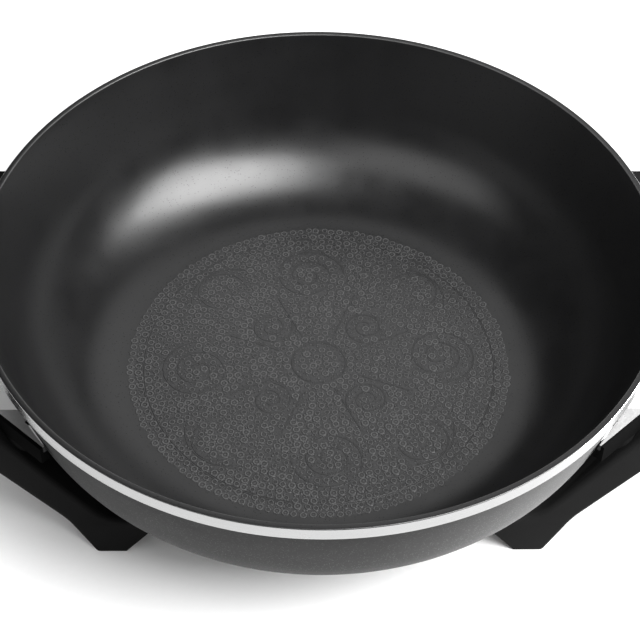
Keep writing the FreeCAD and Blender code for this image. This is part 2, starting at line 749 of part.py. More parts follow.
def round_frame(body, plan, shape):
    """Round the grip's outside corners, then the long edges that run from foot to foot."""
    outer = plan.grip_outer.value
    inner = plan.grip_inner.value
    corners = round_edges(body, shape, plan.grip_corner,
                          lambda edge: lies_at(edge, outer) and edge.BoundBox.ZLength > 1)
    between_legs = plan.leg_inner.value
    round_edges(body, corners, plan.edge_round,
                lambda edge: (lies_at(edge, outer) or lies_at(edge, inner))
                and edge.BoundBox.YLength > between_legs)


def lies_at(edge, x):
    """Whether an edge lies wholly in the plane at x."""
    return abs(edge.BoundBox.XMin - x) < 0.01 and abs(edge.BoundBox.XMax - x) < 0.01


def add_ear_posts(body, plan):
    """A post on each arm, up to the boss of the bowl's ear."""
    posts = new_sketch(body, "XY_Plane", plan.ear_seat)
    for across in (1, -1):
        add_circle(posts, plan.ear_screw_x, across * plan.ear_screw_y, plan.ear_boss_radius + 1.6)
    depth = plan.ear_seat - plan.arm_over(plan.ear_screw_x) + plan.arm_depth / 2
    pad(body, posts, depth, reverse=True)


def ear_side(plan, across, out, along):
    """A point beside the ear's long outer edge, out from it and along it from the ear's corner."""
    tip_x = plan.tip_radius * cosine(plan.tip_angle)
    tip_y = plan.tip_radius * sine(plan.tip_angle)
    back = plan.ear_corner - tip_x
    aside = tip_y - plan.ear_edge
    length = root(back * back + aside * aside)
    x = plan.ear_corner + (out * aside - along * back) / length
    y = plan.ear_edge + (out * back + along * aside) / length
    return x, across * y


def add_ear_trays(body, plan):
    """A tray on each post: its floor lies under the ear, and its wall covers the ear's outer edge."""
    wall = plan.tray_gap + plan.tray_wall
    reach = plan.ear_length * 1.48
    past = plan.ear_boss_radius * 3
    trays = new_sketch(body, "XY_Plane", plan.ear_seat)
    seats = new_sketch(body, "XY_Plane", plan.ear_bottom - plan.tray_gap)
    bosses = new_sketch(body, "XY_Plane", plan.ear_seat)
    for across in (1, -1):
        add_outline(trays, [
            ear_side(plan, across, wall, 0),
            ear_side(plan, across, wall, reach),
            ear_side(plan, across, -past, reach),
            ear_side(plan, across, -past, past),
        ])
        add_outline(seats, [
            ear_side(plan, across, plan.tray_gap, -past),
            ear_side(plan, across, plan.tray_gap, reach + past),
            ear_side(plan, across, -past * 2, reach + past),
            ear_side(plan, across, -past * 2, -past),
        ])
        add_circle(bosses, plan.ear_screw_x, across * plan.ear_screw_y, plan.ear_boss_radius + plan.tray_gap)
    pad(body, trays, plan.handle_top - plan.ear_seat)
    pocket(body, seats, plan.ear_thickness + plan.tray_gap * 2, along_normal=True)
    pocket(body, bosses, plan.ear_boss_length, along_normal=True)
    low = plan.ear_seat - plan.tray_wall
    high = plan.handle_top + plan.tray_wall
    room = new_sketch(body, "XZ_Plane")
    add_outline(room, [
        (plan.hook_end, low),
        (plan.wall_radius(low) + plan.tray_clear, low),
        (plan.wall_radius(high) + plan.tray_clear, high),
        (plan.hook_end, high),
    ])
    groove(body, room)


def cut_coring(body, plan):
    """Lightening pockets in the inner faces of the legs, with ribs left between them."""
    skin = plan.arm_skin
    foot_floor = plan.pad_proud + skin
    foot_near = plan.foot_inner + skin * 1.5
    foot_far = plan.foot_outer - skin / 3
    foot_stop = plan.shin_top_x - plan.core_rib / 2
    arm_start = plan.shin_top_x + plan.core_rib / 2
    arm_stop = arm_start + plan.core_length
    top_start = plan.ear_corner
    top_stop = top_start + plan.core_length
    for across in (1, -1):
        cells = new_sketch(body, "XZ_Plane", -across * plan.leg_inner)
        add_outline(cells, [
            (foot_near, foot_floor),
            (foot_far, foot_floor),
            (foot_stop, plan.hook_rise + skin),
            (foot_stop, plan.arm_over(foot_stop) - skin),
            (foot_near, plan.arm_over(foot_near) - skin),
        ])
        add_outline(cells, [
            (arm_start, plan.arm_under(arm_start) + skin),
            (arm_stop, plan.arm_under(arm_stop) + skin),
            (arm_stop, plan.arm_over(arm_stop) - skin),
            (arm_start, plan.arm_over(arm_start) - skin),
        ])
        add_outline(cells, [
            (top_start, plan.arm_under(top_start) + skin),
            (top_stop, plan.arm_under(top_stop) + skin),
            (top_stop, plan.handle_top - skin),
            (top_start, plan.arm_over(top_start) - skin),
        ])
        pocket(body, cells, plan.core_depth, along_normal=across < 0)


def cut_frame_holes(body, plan):
    """Pad recesses under the feet, and stepped holes for the ear and hook screws."""
    recess = new_sketch(body, "XY_Plane")
    holes = new_sketch(body, "XY_Plane")
    ear_heads = new_sketch(body, "XY_Plane")
    hook_heads = new_sketch(body, "XY_Plane")
    bore = plan.head_radius + plan.head_clearance
    for across in (1, -1):
        low, high = pad_span(plan, across)
        add_rectangle(recess, plan.foot_inner + plan.pad_margin, plan.foot_outer - plan.pad_margin,
                      low, high, plan.pad_margin)
        add_circle(holes, plan.ear_screw_x, across * plan.ear_screw_y,
                   plan.screw_radius + plan.screw_clearance)
        add_circle(holes, plan.hook_screw_x, across * plan.hook_screw_y,
                   plan.hook_shank_radius + plan.screw_clearance)
        add_circle(ear_heads, plan.ear_screw_x, across * plan.ear_screw_y, bore)
        add_circle(hook_heads, plan.hook_screw_x, across * plan.hook_screw_y, bore)
    pocket(body, recess, plan.pad_proud + plan.pad_depth, along_normal=True)
    pocket(body, holes, plan.rim_height, along_normal=True)
    pocket(body, ear_heads, plan.ear_seat - plan.ear_screw_grip, along_normal=True)
    pocket(body, hook_heads, plan.hook_rise - plan.hook_screw_grip, along_normal=True)


def pad_span(plan, across):
    """Low and high Y of a foot pad."""
    near = plan.leg_inner + plan.pad_margin
    far = plan.foot_front - plan.pad_margin
    return (near, far) if across > 0 else (-far, -near)


def build_foot_pads(doc, plan):
    """Four soft pads set into the feet."""
    names = {(1, 1): "foot_pad_rear_right", (1, -1): "foot_pad_front_right",
             (-1, 1): "foot_pad_rear_left", (-1, -1): "foot_pad_front_left"}
    for (along, across), name in names.items():
        body = new_body(doc, name)
        outline = new_sketch(body, "XY_Plane")
        low, high = pad_span(plan, across)
        inner = plan.foot_inner + plan.pad_margin + plan.fit
        outer = plan.foot_outer - plan.pad_margin - plan.fit
        left, right = (inner, outer) if along > 0 else (-outer, -inner)
        add_rectangle(outline, left, right, low + plan.fit, high - plan.fit, plan.pad_margin - plan.fit)
        pad(body, outline, plan.pad_proud + plan.pad_depth)
        finish(body, name)


# ---------------------------------------------------------------------------- screws and heater


def screw_solid(shank_radius, shank_length, head_radius, head_height):
    """A pan-head screw, head down, with its seat at the origin and a cross recess in its head."""
    shank = Part.makeCylinder(shank_radius, shank_length)
    bevel = head_height * 0.35
    lower = Part.makeCone(head_radius - bevel, head_radius, bevel, FreeCAD.Vector(0, 0, -head_height))
    upper = Part.makeCylinder(head_radius, head_height - bevel, FreeCAD.Vector(0, 0, bevel - head_height))
    solid = lower.fuse(upper).fuse(shank)
    slot_length = head_radius * 1.1
    slot_width = head_radius * 0.25
    for length, width in ((slot_length, slot_width), (slot_width, slot_length)):
        corner = FreeCAD.Vector(-length / 2, -width / 2, -head_height)
        solid = solid.cut(Part.makeBox(length, width, head_height * 0.5, corner))
    return solid.removeSplitter()


def build_group(doc, name, solid, places):
    """A node that holds several copies of one solid."""
    copies = []
    for place in places:
        copy = solid.copy()
        copy.translate(FreeCAD.Vector(*[number(part) for part in place]))
        copies.append(copy)
    group = doc.addObject("Part::Feature", name)
    group.Shape = Part.makeCompound(copies)
    return finish(group, name)


def build_screws(doc, plan):
    head = plan.head_radius.value
    height = plan.head_height.value
    ear_seat = plan.ear_seat - plan.ear_screw_grip
    ear_length = number(plan.ear_screw_grip + plan.screw_bite)
    ear_screw = screw_solid(plan.screw_radius.value, ear_length, head, height)
    build_group(doc, "ear_screws", ear_screw,
                [(along * plan.ear_screw_x, across * plan.ear_screw_y, ear_seat)
                 for along, across in four_ways()])
    hook_seat = plan.hook_rise - plan.hook_screw_grip
    hook_length = number(plan.hook_screw_grip + plan.screw_bite)
    hook_screw = screw_solid(plan.hook_shank_radius.value, hook_length, head, height)
    build_group(doc, "leg_screws", hook_screw,
                [(along * plan.hook_screw_x, across * plan.hook_screw_y, hook_seat)
                 for along, across in four_ways()])
    guard_length = number(plan.sheet + plan.tab_drop + plan.floor_thickness / 2 - 0.5)
    guard_screw = screw_solid(plan.hook_shank_radius.value, guard_length, head, height)
    build_group(doc, "guard_screws", guard_screw,
                [(along * plan.tab_screw_x, plan.tab_middle, plan.tab_bottom) for along in (1, -1)])
    housing_length = number(plan.control_bottom - plan.shell - 1 + plan.control_top / 2)
    housing_screw = screw_solid(plan.housing_shank_radius.value, housing_length,
                                plan.housing_head_radius.value, plan.housing_head_height.value)
    build_group(doc, "housing_screws", housing_screw,
                [(along * plan.housing_screw_x, plan.housing_screw_y, plan.control_floor + 1)
                 for along in (1, -1)])


def build_element(doc, plan):
    """The sheathed heater: an open ring whose two ends bend out to the terminals."""
    body = new_body(doc, "heating_element")
    ring = plan.element_ring.value
    bend = plan.element_bend.value
    spread = plan.terminal_spread.value
    centre_x = spread + bend
    centre_y = math.sqrt((ring + bend) ** 2 - centre_x ** 2)
    lean = math.atan2(centre_y, centre_x)
    end = plan.sheath_end.value
    up = FreeCAD.Vector(0, 0, 1)
    path = new_sketch(body, "XY_Plane", plan.probe_height)
    right_line = path.addGeometry(Part.LineSegment(FreeCAD.Vector(spread, end, 0),
                                                   FreeCAD.Vector(spread, centre_y, 0)))
    right_bend = path.addGeometry(Part.ArcOfCircle(
        Part.Circle(FreeCAD.Vector(centre_x, centre_y, 0), up, bend), math.pi, math.pi + lean))
    main = path.addGeometry(Part.ArcOfCircle(
        Part.Circle(FreeCAD.Vector(), up, ring), math.pi - lean, 2 * math.pi + lean))
    left_bend = path.addGeometry(Part.ArcOfCircle(
        Part.Circle(FreeCAD.Vector(-centre_x, centre_y, 0), up, bend), -lean, 0))
    left_line = path.addGeometry(Part.LineSegment(FreeCAD.Vector(-spread, centre_y, 0),
                                                  FreeCAD.Vector(-spread, end, 0)))
    joins = [(right_line, 2, right_bend, 1), (right_bend, 2, main, 2),
             (main, 1, left_bend, 1), (left_bend, 2, left_line, 1)]
    for first, first_end, second, second_end in joins:
        path.addConstraint(Sketcher.Constraint("Tangent", first, first_end, second, second_end))
    path.addConstraint(Sketcher.Constraint("Coincident", main, 3, -1, 1))
    hold_radius(path, main, plan.element_ring)
    hold_radius(path, right_bend, plan.element_bend)
    hold_radius(path, left_bend, plan.element_bend)
    for line, outer_end, sign in ((right_line, 1, 1), (left_line, 2, -1)):
        hold(path, line, 1, "X", sign * plan.terminal_spread)
        hold(path, line, 2, "X", sign * plan.terminal_spread)
        hold(path, line, outer_end, "Y", plan.sheath_end)
    section = new_sketch(body, "XZ_Plane", -plan.sheath_end)
    add_circle(section, plan.terminal_spread, plan.probe_height, plan.element_radius)
    doc.recompute()
    sheath = body.newObject("PartDesign::AdditivePipe", "heating_element_sheath")
    sheath.Profile = section
    sheath.Spine = (path, ["Edge%d" % index for index in range(1, 6)])
    finish(body, "heating_element")
    build_terminals(doc, plan)


def build_terminals(doc, plan):
    """The pins that the control plugs onto, and the ceramic beads at their roots."""
    pin_length = plan.pin_length.value
    tip = plan.pin_tip.value
    radius = plan.pin_radius.value
    along_y = FreeCAD.Vector(0, 1, 0)
    pin = Part.makeCylinder(radius, pin_length - tip, FreeCAD.Vector(), along_y)
    point = Part.makeCone(radius, radius - tip, tip, FreeCAD.Vector(0, pin_length - tip, 0), along_y)
    sides = [(sign * plan.terminal_spread, plan.sheath_end, plan.probe_height) for sign in (1, -1)]
    build_group(doc, "terminal_pins", pin.fuse(point), sides)
    bead = Part.makeCylinder(plan.bead_radius.value, plan.bead_length.value, FreeCAD.Vector(), along_y)
    hole = Part.makeCylinder(radius + plan.fit.value, plan.bead_length.value, FreeCAD.Vector(), along_y)
    build_group(doc, "terminal_beads", bead.cut(hole), sides)


def build_guard(doc, plan):
    """A folded steel shroud round the terminals, open to the rear, hung from two screw tabs."""
    body = new_body(doc, "probe_guard")
    low = plan.probe_height - plan.probe_drop
    high = plan.floor_bottom
    half = plan.guard_half_width
    sheet = plan.sheet
    block = new_sketch(body, "XZ_Plane", -plan.socket_end)
    add_rectangle(block, -half, half, low, high, plan.guard_corner)
    pad(body, block, plan.socket_depth)
    tabs = new_sketch(body, "XY_Plane", plan.tab_bottom)
    tab_end = half + plan.tab_length
    for along in (1, -1):
        near = along * (half - sheet / 2)
        far = along * tab_end
        left, right = (near, far) if along > 0 else (far, near)
        add_rectangle(tabs, left, right, plan.tab_middle - plan.tab_width / 2,
                      plan.tab_middle + plan.tab_width / 2)
    pad(body, tabs, sheet)
    inside = new_sketch(body, "XZ_Plane", -plan.socket_end)
    add_rectangle(inside, -half + sheet, half - sheet, low + sheet, high - sheet, plan.guard_corner - sheet)
    pocket(body, inside, plan.socket_depth - sheet, along_normal=True)
    holes = new_sketch(body, "XZ_Plane", -plan.socket_start)
    add_circle(holes, 0, plan.probe_height, plan.probe_radius + plan.probe_fit * 4)
    for along in (1, -1):
        add_circle(holes, along * plan.terminal_spread, plan.probe_height, plan.element_radius + plan.fit)
    pocket(body, holes, sheet * 3, symmetric=True)
    screw_holes = new_sketch(body, "XY_Plane", plan.tab_bottom)
    for along in (1, -1):
        add_circle(screw_holes, along * plan.tab_screw_x, plan.tab_middle,
                   plan.hook_shank_radius + plan.screw_clearance)
    pocket(body, screw_holes, sheet * 3, symmetric=True)
    return finish(body, "probe_guard")


# ------------------------------------------------------------------------------------- control


def build_housing(doc, plan, name, side):
    """One half of the control's housing. side is +1 for the upper half, -1 for the lower one."""
    body = new_body(doc, name)
    upper = side > 0
    reach = plan.control_top if upper else plan.control_bottom
    outside = new_sketch(body, "XY_Plane", plan.probe_height)
    add_rectangle(outside, -plan.control_half_width, plan.control_half_width,
                  plan.nose_end, plan.control_end, plan.control_corner)
    shell = pad(body, outside, reach, reverse=not upper)
    far_height = number(plan.probe_height + side * reach)
    round_edges(body, shell, plan.control_edge,
                lambda edge: abs(edge.CenterOfMass.z - far_height) < 0.01)
    nose = new_sketch(body, "XY_Plane", plan.probe_height)
    add_rectangle(nose, -plan.nose_half, plan.nose_half, plan.nose_start, plan.nose_end + plan.shell)
    nose_pad = pad(body, nose, plan.nose_rise, reverse=not upper)
    nose_height = number(plan.probe_height + side * plan.nose_rise)
    round_edges(body, nose_pad, plan.guard_corner - plan.sheet - plan.nose_gap,
                lambda edge: abs(edge.CenterOfMass.z - nose_height) < 0.01
                and abs(edge.CenterOfMass.x) > plan.nose_half.value - 0.01)
    hollow_housing(body, plan, side, reach)
    add_housing_bosses(body, plan, side, reach)
    cut_housing_holes(body, plan, upper)
    return finish(body, name)


def hollow_housing(body, plan, side, reach):
    """Hollow the body and the nose, each to its own depth, so that the wall is even."""
    upper = side > 0
    room = new_sketch(body, "XY_Plane", plan.probe_height)
    inner_start = plan.nose_end + plan.shell
    half = plan.control_half_width - plan.shell
    add_rectangle(room, -half, half, inner_start, plan.control_end - plan.shell,
                  plan.control_corner - plan.shell)
    pocket(body, room, reach - plan.shell, along_normal=upper)
    nose_room = new_sketch(body, "XY_Plane", plan.probe_height)
    nose_half = plan.nose_half - plan.shell
    add_rectangle(nose_room, -nose_half, nose_half, plan.nose_start + plan.shell,
                  inner_start + plan.control_corner)
    pocket(body, nose_room, plan.nose_rise - plan.shell, along_normal=upper)


def add_housing_bosses(body, plan, side, reach):
    """Screw bosses at the two rear corners, from the wall to the joint."""
    bosses = new_sketch(body, "XY_Plane", plan.probe_height)
    for along in (1, -1):
        add_circle(bosses, along * plan.housing_screw_x, plan.housing_screw_y, plan.housing_boss_radius)
    pad(body, bosses, reach - plan.shell / 2, reverse=side < 0)


def cut_housing_holes(body, plan, upper):
    """Holes on the joint plane, for probe, sleeves and shaft, and the holes of one half alone."""
    front = new_sketch(body, "XZ_Plane", -plan.nose_start)
    add_circle(front, 0, plan.probe_height, plan.probe_radius + plan.fit)
    for along in (1, -1):
        add_circle(front, along * plan.terminal_spread, plan.probe_height, plan.sleeve_radius + plan.fit)
    pocket(body, front, plan.shell * 2.5, symmetric=True)
    rear = new_sketch(body, "XZ_Plane", -plan.control_end)
    add_circle(rear, 0, plan.probe_height, plan.shaft_radius + plan.shaft_fit)
    pocket(body, rear, plan.shell * 2.5, symmetric=True)
    side_hole = new_sketch(body, "YZ_Plane", -plan.control_half_width)
    add_circle(side_hole, plan.gland_place, plan.probe_height, plan.gland_radius + plan.fit)
    pocket(body, side_hole, plan.shell * 2.5, symmetric=True)
    screws = new_sketch(body, "XY_Plane", plan.probe_height)
    clearance = plan.thread_clearance if upper else plan.screw_clearance
    for along in (1, -1):
        add_circle(screws, along * plan.housing_screw_x, plan.housing_screw_y,
                   plan.housing_shank_radius + clearance)
    if upper:
        pocket(body, screws, plan.control_top * 0.7, along_normal=True)
        window = new_sketch(body, "XY_Plane", plan.control_high)
        add_circle(window, plan.lamp_side, plan.gland_place, plan.lens_radius + plan.fit)
        pocket(body, window, plan.shell * 2.5, symmetric=True)
    else:
        pocket(body, screws, plan.control_bottom + 1)
        heads = new_sketch(body, "XY_Plane", plan.control_low)
        for along in (1, -1):
            add_circle(heads, along * plan.housing_screw_x, plan.housing_screw_y,
                       plan.housing_head_radius + plan.fit * 3)
        pocket(body, heads, plan.shell + 1, along_normal=True)


def build_probe(doc, plan):
    """The probe rod with a rounded tip, and the face plate that carries it."""
    body = new_body(doc, "probe_rod")
    section = new_sketch(body, "XZ_Plane", -plan.bracket_start)
    add_circle(section, 0, plan.probe_height, plan.probe_radius)
    rod = pad(body, section, plan.bracket_start - plan.probe_tip)
    tip_edge = lambda edge: edge.BoundBox.YMax < plan.probe_tip.value + 0.01
    round_edges(body, rod, plan.probe_radius * 0.8, tip_edge)
    finish(body, "probe_rod")
    plate = new_body(doc, "face_plate")
    face = new_sketch(plate, "XZ_Plane", -plan.nose_start)
    add_rectangle(face, -plan.face_plate_half, plan.face_plate_half,
                  plan.probe_height - plan.face_plate_rise, plan.probe_height + plan.face_plate_rise,
                  plan.face_plate_rise / 3)
    add_circle(face, 0, plan.probe_height, plan.probe_radius + plan.fit)
    for along in (1, -1):
        add_circle(face, along * plan.terminal_spread, plan.probe_height, plan.sleeve_radius + plan.fit)
    pad(plate, face, plan.face_plate)
    finish(plate, "face_plate")


def build_sleeves(doc, plan):
    """The two contact sleeves that take the terminal pins."""
    length = plan.sleeve_length.value
    along_y = FreeCAD.Vector(0, 1, 0)
    outer = Part.makeCylinder(plan.sleeve_radius.value, length, FreeCAD.Vector(), along_y)
    inner_radius = number(plan.pin_radius + plan.fit)
    inner = Part.makeCylinder(inner_radius, length - 2, FreeCAD.Vector(), along_y)
    build_group(doc, "contact_sleeves", outer.cut(inner),
                [(sign * plan.terminal_spread, plan.sleeve_start, plan.probe_height) for sign in (1, -1)])


def build_thermostat(doc, plan):
    """The switch work inside the control: frame, bimetal strip, leaves, spacers and push pin."""
    body = new_body(doc, "thermostat_frame")
    low = plan.control_floor
    sheet = plan.bracket_sheet
    start = plan.bracket_start
    end = plan.bracket_end
    top = plan.probe_height + plan.bracket_top
    side = new_sketch(body, "YZ_Plane")
    add_outline(side, [
        (start, low),
        (end, low),
        (end, top),
        (end - sheet, top),
        (end - sheet, low + sheet),
        (start + sheet, low + sheet),
        (start + sheet, top),
        (start, top),
    ])
    pad(body, side, plan.bracket_half_width * 2, symmetric=True)
    hole = new_sketch(body, "XZ_Plane", -end)
    add_circle(hole, 0, plan.probe_height, plan.shaft_radius + plan.shaft_fit)
    pocket(body, hole, sheet * 3, symmetric=True)
    finish(body, "thermostat_frame")
    bimetal_top = top - 1
    build_strip(doc, "bimetal_strip", plan.bimetal_width, start + sheet, plan.bimetal_length,
                bimetal_top - plan.bimetal_sheet, bimetal_top)
    stack = low + sheet
    spacer = (plan.insulator_height, plan.leaf_sheet)
    levels = [stack, stack + spacer[0] + spacer[1], stack + 2 * (spacer[0] + spacer[1])]
    block = Part.makeBox(plan.leaf_width.value, plan.insulator_length.value, plan.insulator_height.value)
    left = -plan.leaf_width / 2
    build_group(doc, "leaf_insulators", block, [(left, start + 2 * sheet, level) for level in levels])
    leaf = Part.makeBox(plan.leaf_width.value, plan.leaf_length.value, plan.leaf_sheet.value)
    leaf_levels = [level + plan.insulator_height for level in levels[:2]]
    build_group(doc, "switch_leaves", leaf, [(left, start + 2 * sheet, level) for level in leaf_levels])
    pin_bottom = leaf_levels[1] + plan.leaf_sheet
    pin = new_body(doc, "push_pin")
    section = new_sketch(pin, "XY_Plane", pin_bottom)
    add_circle(section, 0, start + plan.leaf_length, plan.push_pin_radius)
    pad(pin, section, bimetal_top - plan.bimetal_sheet - pin_bottom)
    finish(pin, "push_pin")


def build_strip(doc, name, width, start, length, low, high):
    """A flat strip along Y, centred on the middle plane."""
    body = new_body(doc, name)
    plan_view = new_sketch(body, "XY_Plane", low)
    add_rectangle(plan_view, -width / 2, width / 2, start, start + length)
    pad(body, plan_view, high - low)
    return finish(body, name)


def build_dial(doc, plan):
    """The dial, with its skirt, fluted grip and pointer ridge, and the shaft that it turns."""
    shaft = new_body(doc, "dial_shaft")
    section = new_sketch(shaft, "XZ_Plane", -(plan.dial_end - plan.dial_skirt))
    add_circle(section, 0, plan.probe_height, plan.shaft_radius)
    pad(shaft, section, plan.dial_end - plan.dial_skirt - plan.shaft_tip)
    finish(shaft, "dial_shaft")
    body = new_body(doc, "control_dial")
    skirt = new_sketch(body, "XZ_Plane", -(plan.dial_start + plan.dial_skirt))
    add_circle(skirt, 0, plan.probe_height, plan.dial_radius)
    pad(body, skirt, plan.dial_skirt)
    grip = new_sketch(body, "XZ_Plane", -plan.dial_end)
    add_circle(grip, 0, plan.probe_height, plan.dial_grip_radius)
    core = pad(body, grip, plan.dial_depth - plan.dial_skirt)
    round_edges(body, core, plan.dial_skirt / 3, lambda edge: edge.BoundBox.YMin > plan.dial_end.value - 0.01)
    flutes = new_sketch(body, "XZ_Plane", -plan.dial_end)
    count = int(plan.dial_flutes.value)
    for index in range(count):
        angle = Size(360.0 * (index + 0.5) / count, "(360 * %s / %d)" % (index + 0.5, count))
        add_circle(flutes, plan.dial_grip_radius * cosine(angle),
                   plan.probe_height + plan.dial_grip_radius * sine(angle), plan.flute_radius)
    pocket(body, flutes, plan.dial_depth - plan.dial_skirt - 1, along_normal=True)
    ridge = new_sketch(body, "XZ_Plane", -(plan.dial_end + plan.dial_skirt / 6))
    add_rectangle(ridge, -plan.pointer_width / 2, plan.pointer_width / 2,
                  plan.probe_height, plan.probe_height + plan.dial_grip_radius - plan.flute_radius)
    pad(body, ridge, plan.dial_skirt)
    hole = new_sketch(body, "XZ_Plane", -plan.dial_start)
    add_circle(hole, 0, plan.probe_height, plan.shaft_radius + plan.thread_clearance)
    pocket(body, hole, plan.dial_depth - plan.dial_skirt)
    return finish(body, "control_dial")


def build_lamp_and_gland(doc, plan):
    """The pilot lamp under its lens, and the gland that the cord would enter by."""
    lens = new_body(doc, "pilot_lens")
    stem = new_sketch(lens, "XY_Plane", plan.control_high - plan.shell)
    add_circle(stem, plan.lamp_side, plan.gland_place, plan.lens_radius)
    pad(lens, stem, plan.shell)
    cap = new_sketch(lens, "XY_Plane", plan.control_high)
    add_circle(cap, plan.lamp_side, plan.gland_place, plan.lens_radius + plan.lens_flange)
    top = pad(lens, cap, plan.lens_flange)
    lens_top = number(plan.control_high + plan.lens_flange)
    round_edges(lens, top, plan.lens_flange / 2, lambda edge: edge.BoundBox.ZMin > lens_top - 0.01)
    finish(lens, "pilot_lens")
    lamp = new_body(doc, "pilot_lamp")
    bulb = new_sketch(lamp, "XY_Plane", plan.control_high - plan.shell)
    add_circle(bulb, plan.lamp_side, plan.gland_place, plan.lamp_radius)
    pad(lamp, bulb, plan.lamp_length, reverse=True)
    finish(lamp, "pilot_lamp")
    gland = new_body(doc, "cord_gland")
    wall = plan.control_half_width
    neck = new_sketch(gland, "YZ_Plane", -(wall - plan.shell))
    add_circle(neck, plan.gland_place, plan.probe_height, plan.gland_radius)
    pad(gland, neck, plan.shell + plan.gland_length, reverse=True)
    flange = new_sketch(gland, "YZ_Plane", -wall)
    add_circle(flange, plan.gland_place, plan.probe_height, plan.gland_flange)
    pad(gland, flange, plan.gland_length / 3, reverse=True)
    bore = new_sketch(gland, "YZ_Plane", -wall)
    add_circle(bore, plan.gland_place, plan.probe_height, plan.gland_bore)
    tip = pocket(gland, bore, (plan.gland_length + plan.shell) * 3, symmetric=True)
    outer_end = -number(wall + plan.gland_length)
    round_edges(gland, tip, (plan.gland_radius - plan.gland_bore) / 2,
                lambda edge: edge.BoundBox.XMax < outer_end + 0.01 and edge.BoundBox.YLength > 2 * 4)
    finish(gland, "cord_gland")


# --------------------------------------------------------------------------------------- build


def check_and_export(doc):
    """Stop on any failed object, then write one file for each sub-part."""
    doc.recompute()
    for item in doc.Objects:
        if "Invalid" in item.State or "Error" in item.State:
            raise RuntimeError("%s failed: %s" % (item.Label, item.State))
    os.makedirs("parts", exist_ok=True)
    for item in PARTS:
        if item.Shape.isNull() or not item.Shape.isValid():
            raise RuntimeError("%s has no valid shape" % item.Label)
        item.Shape.exportStep("parts/%s.step" % item.Label)
        print("%-24s %2d solid(s) %10.1f mm3" % (item.Label, len(item.Shape.Solids), item.Shape.Volume))


def main():
    doc = FreeCAD.newDocument("electric_wok")
    plan = Plan(make_sheet(doc))
    build_bowl(doc, plan)
    build_frame(doc, plan, "handle_frame_right", 0)
    build_frame(doc, plan, "handle_frame_left", 180)
    build_foot_pads(doc, plan)
    build_element(doc, plan)
    build_guard(doc, plan)
    build_housing(doc, plan, "housing_upper", 1)
    build_housing(doc, plan, "housing_lower", -1)
    build_probe(doc, plan)
    build_sleeves(doc, plan)
    build_thermostat(doc, plan)
    build_dial(doc, plan)
    build_lamp_and_gland(doc, plan)
    build_screws(doc, plan)
    check_and_export(doc)


main()
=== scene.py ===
import logging
import math
from dataclasses import dataclass
from enum import Enum, IntEnum
from typing import Any, Sequence

import bmesh
import bpy
from mathutils import Matrix, Vector


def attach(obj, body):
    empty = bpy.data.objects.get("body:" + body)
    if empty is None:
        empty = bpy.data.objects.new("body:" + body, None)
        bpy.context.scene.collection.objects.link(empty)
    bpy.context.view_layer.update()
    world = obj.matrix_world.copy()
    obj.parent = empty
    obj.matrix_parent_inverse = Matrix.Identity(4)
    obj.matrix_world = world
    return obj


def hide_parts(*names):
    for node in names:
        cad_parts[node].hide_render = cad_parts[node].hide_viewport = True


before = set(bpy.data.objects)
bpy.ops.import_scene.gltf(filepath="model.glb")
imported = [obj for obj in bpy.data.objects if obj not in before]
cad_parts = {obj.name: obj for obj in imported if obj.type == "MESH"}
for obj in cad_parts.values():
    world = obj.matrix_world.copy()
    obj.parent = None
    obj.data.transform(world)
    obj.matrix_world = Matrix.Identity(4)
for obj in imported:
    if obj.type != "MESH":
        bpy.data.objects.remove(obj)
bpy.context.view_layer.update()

LOG = logging.getLogger("electric_wok")
MM = 0.001
Socket = bpy.types.NodeSocket

# Width of the camera's sensor in millimetres, and of its picture in pixels.
SENSOR_WIDTH = 36.0
PICTURE_WIDTH = 640.0
# Corners nearer than WELD are one; a length under NEARLY, or its square under NO_LENGTH, is none.
WELD = 0.002 * MM
NEARLY = 1e-6
NO_LENGTH = 1e-18
# Faces that turn by less than COPLANAR are merged, edges sharper than SHARP_EDGE are eased.
COPLANAR = math.radians(0.4)
SHARP_EDGE = math.radians(35.0)
# Scale of a drawn grain along its length, and grains per radian of a turned one.
DRAWN_STRETCH = 0.03
TURNED_STRETCH = 2.0
# Share of the fine grain in a surface's change of colour; slow patches make up the rest.
FINE_SHARE = 0.55


# ------------------------------------------------------------------------------------- names


class Slot(str, Enum):
    """The record's material slots."""

    BOWL = "cast_bowl"
    FRAME = "frame_plastic"
    FOOT = "foot_rubber"
    SCREW = "screw_steel"
    SHEATH = "element_sheath"
    TERMINAL = "terminal_metal"
    CERAMIC = "ceramic"
    GUARD = "guard_steel"
    CONTROL = "control_plastic"
    PLATE = "plate_steel"
    PROBE = "probe_metal"
    BRASS = "contact_brass"
    BIMETAL = "bimetal"
    LENS = "lamp_lens"
    GLASS = "lamp_glass"
    GLAND = "gland_rubber"
    DIAL = "dial_plastic"
    SHAFT = "shaft_plastic"


class Body(str, Enum):
    """The moving bodies of the frame."""

    COOKER = "cooker"
    CONTROL = "control"
    DIAL = "dial"


class Region(IntEnum):
    """Parts of the bowl's skin, in the order of its materials."""

    COAT = 0
    BAND = 1
    WALL = 2
    UNDERSIDE = 3
    EDGE = 4
    FLOOR = 5


class Grain(Enum):
    """How a surface's fine relief runs."""

    EVEN = "even"
    TURNED = "turned"
    DRAWN = "drawn"


# ---------------------------------------------------------------------------------- finishes


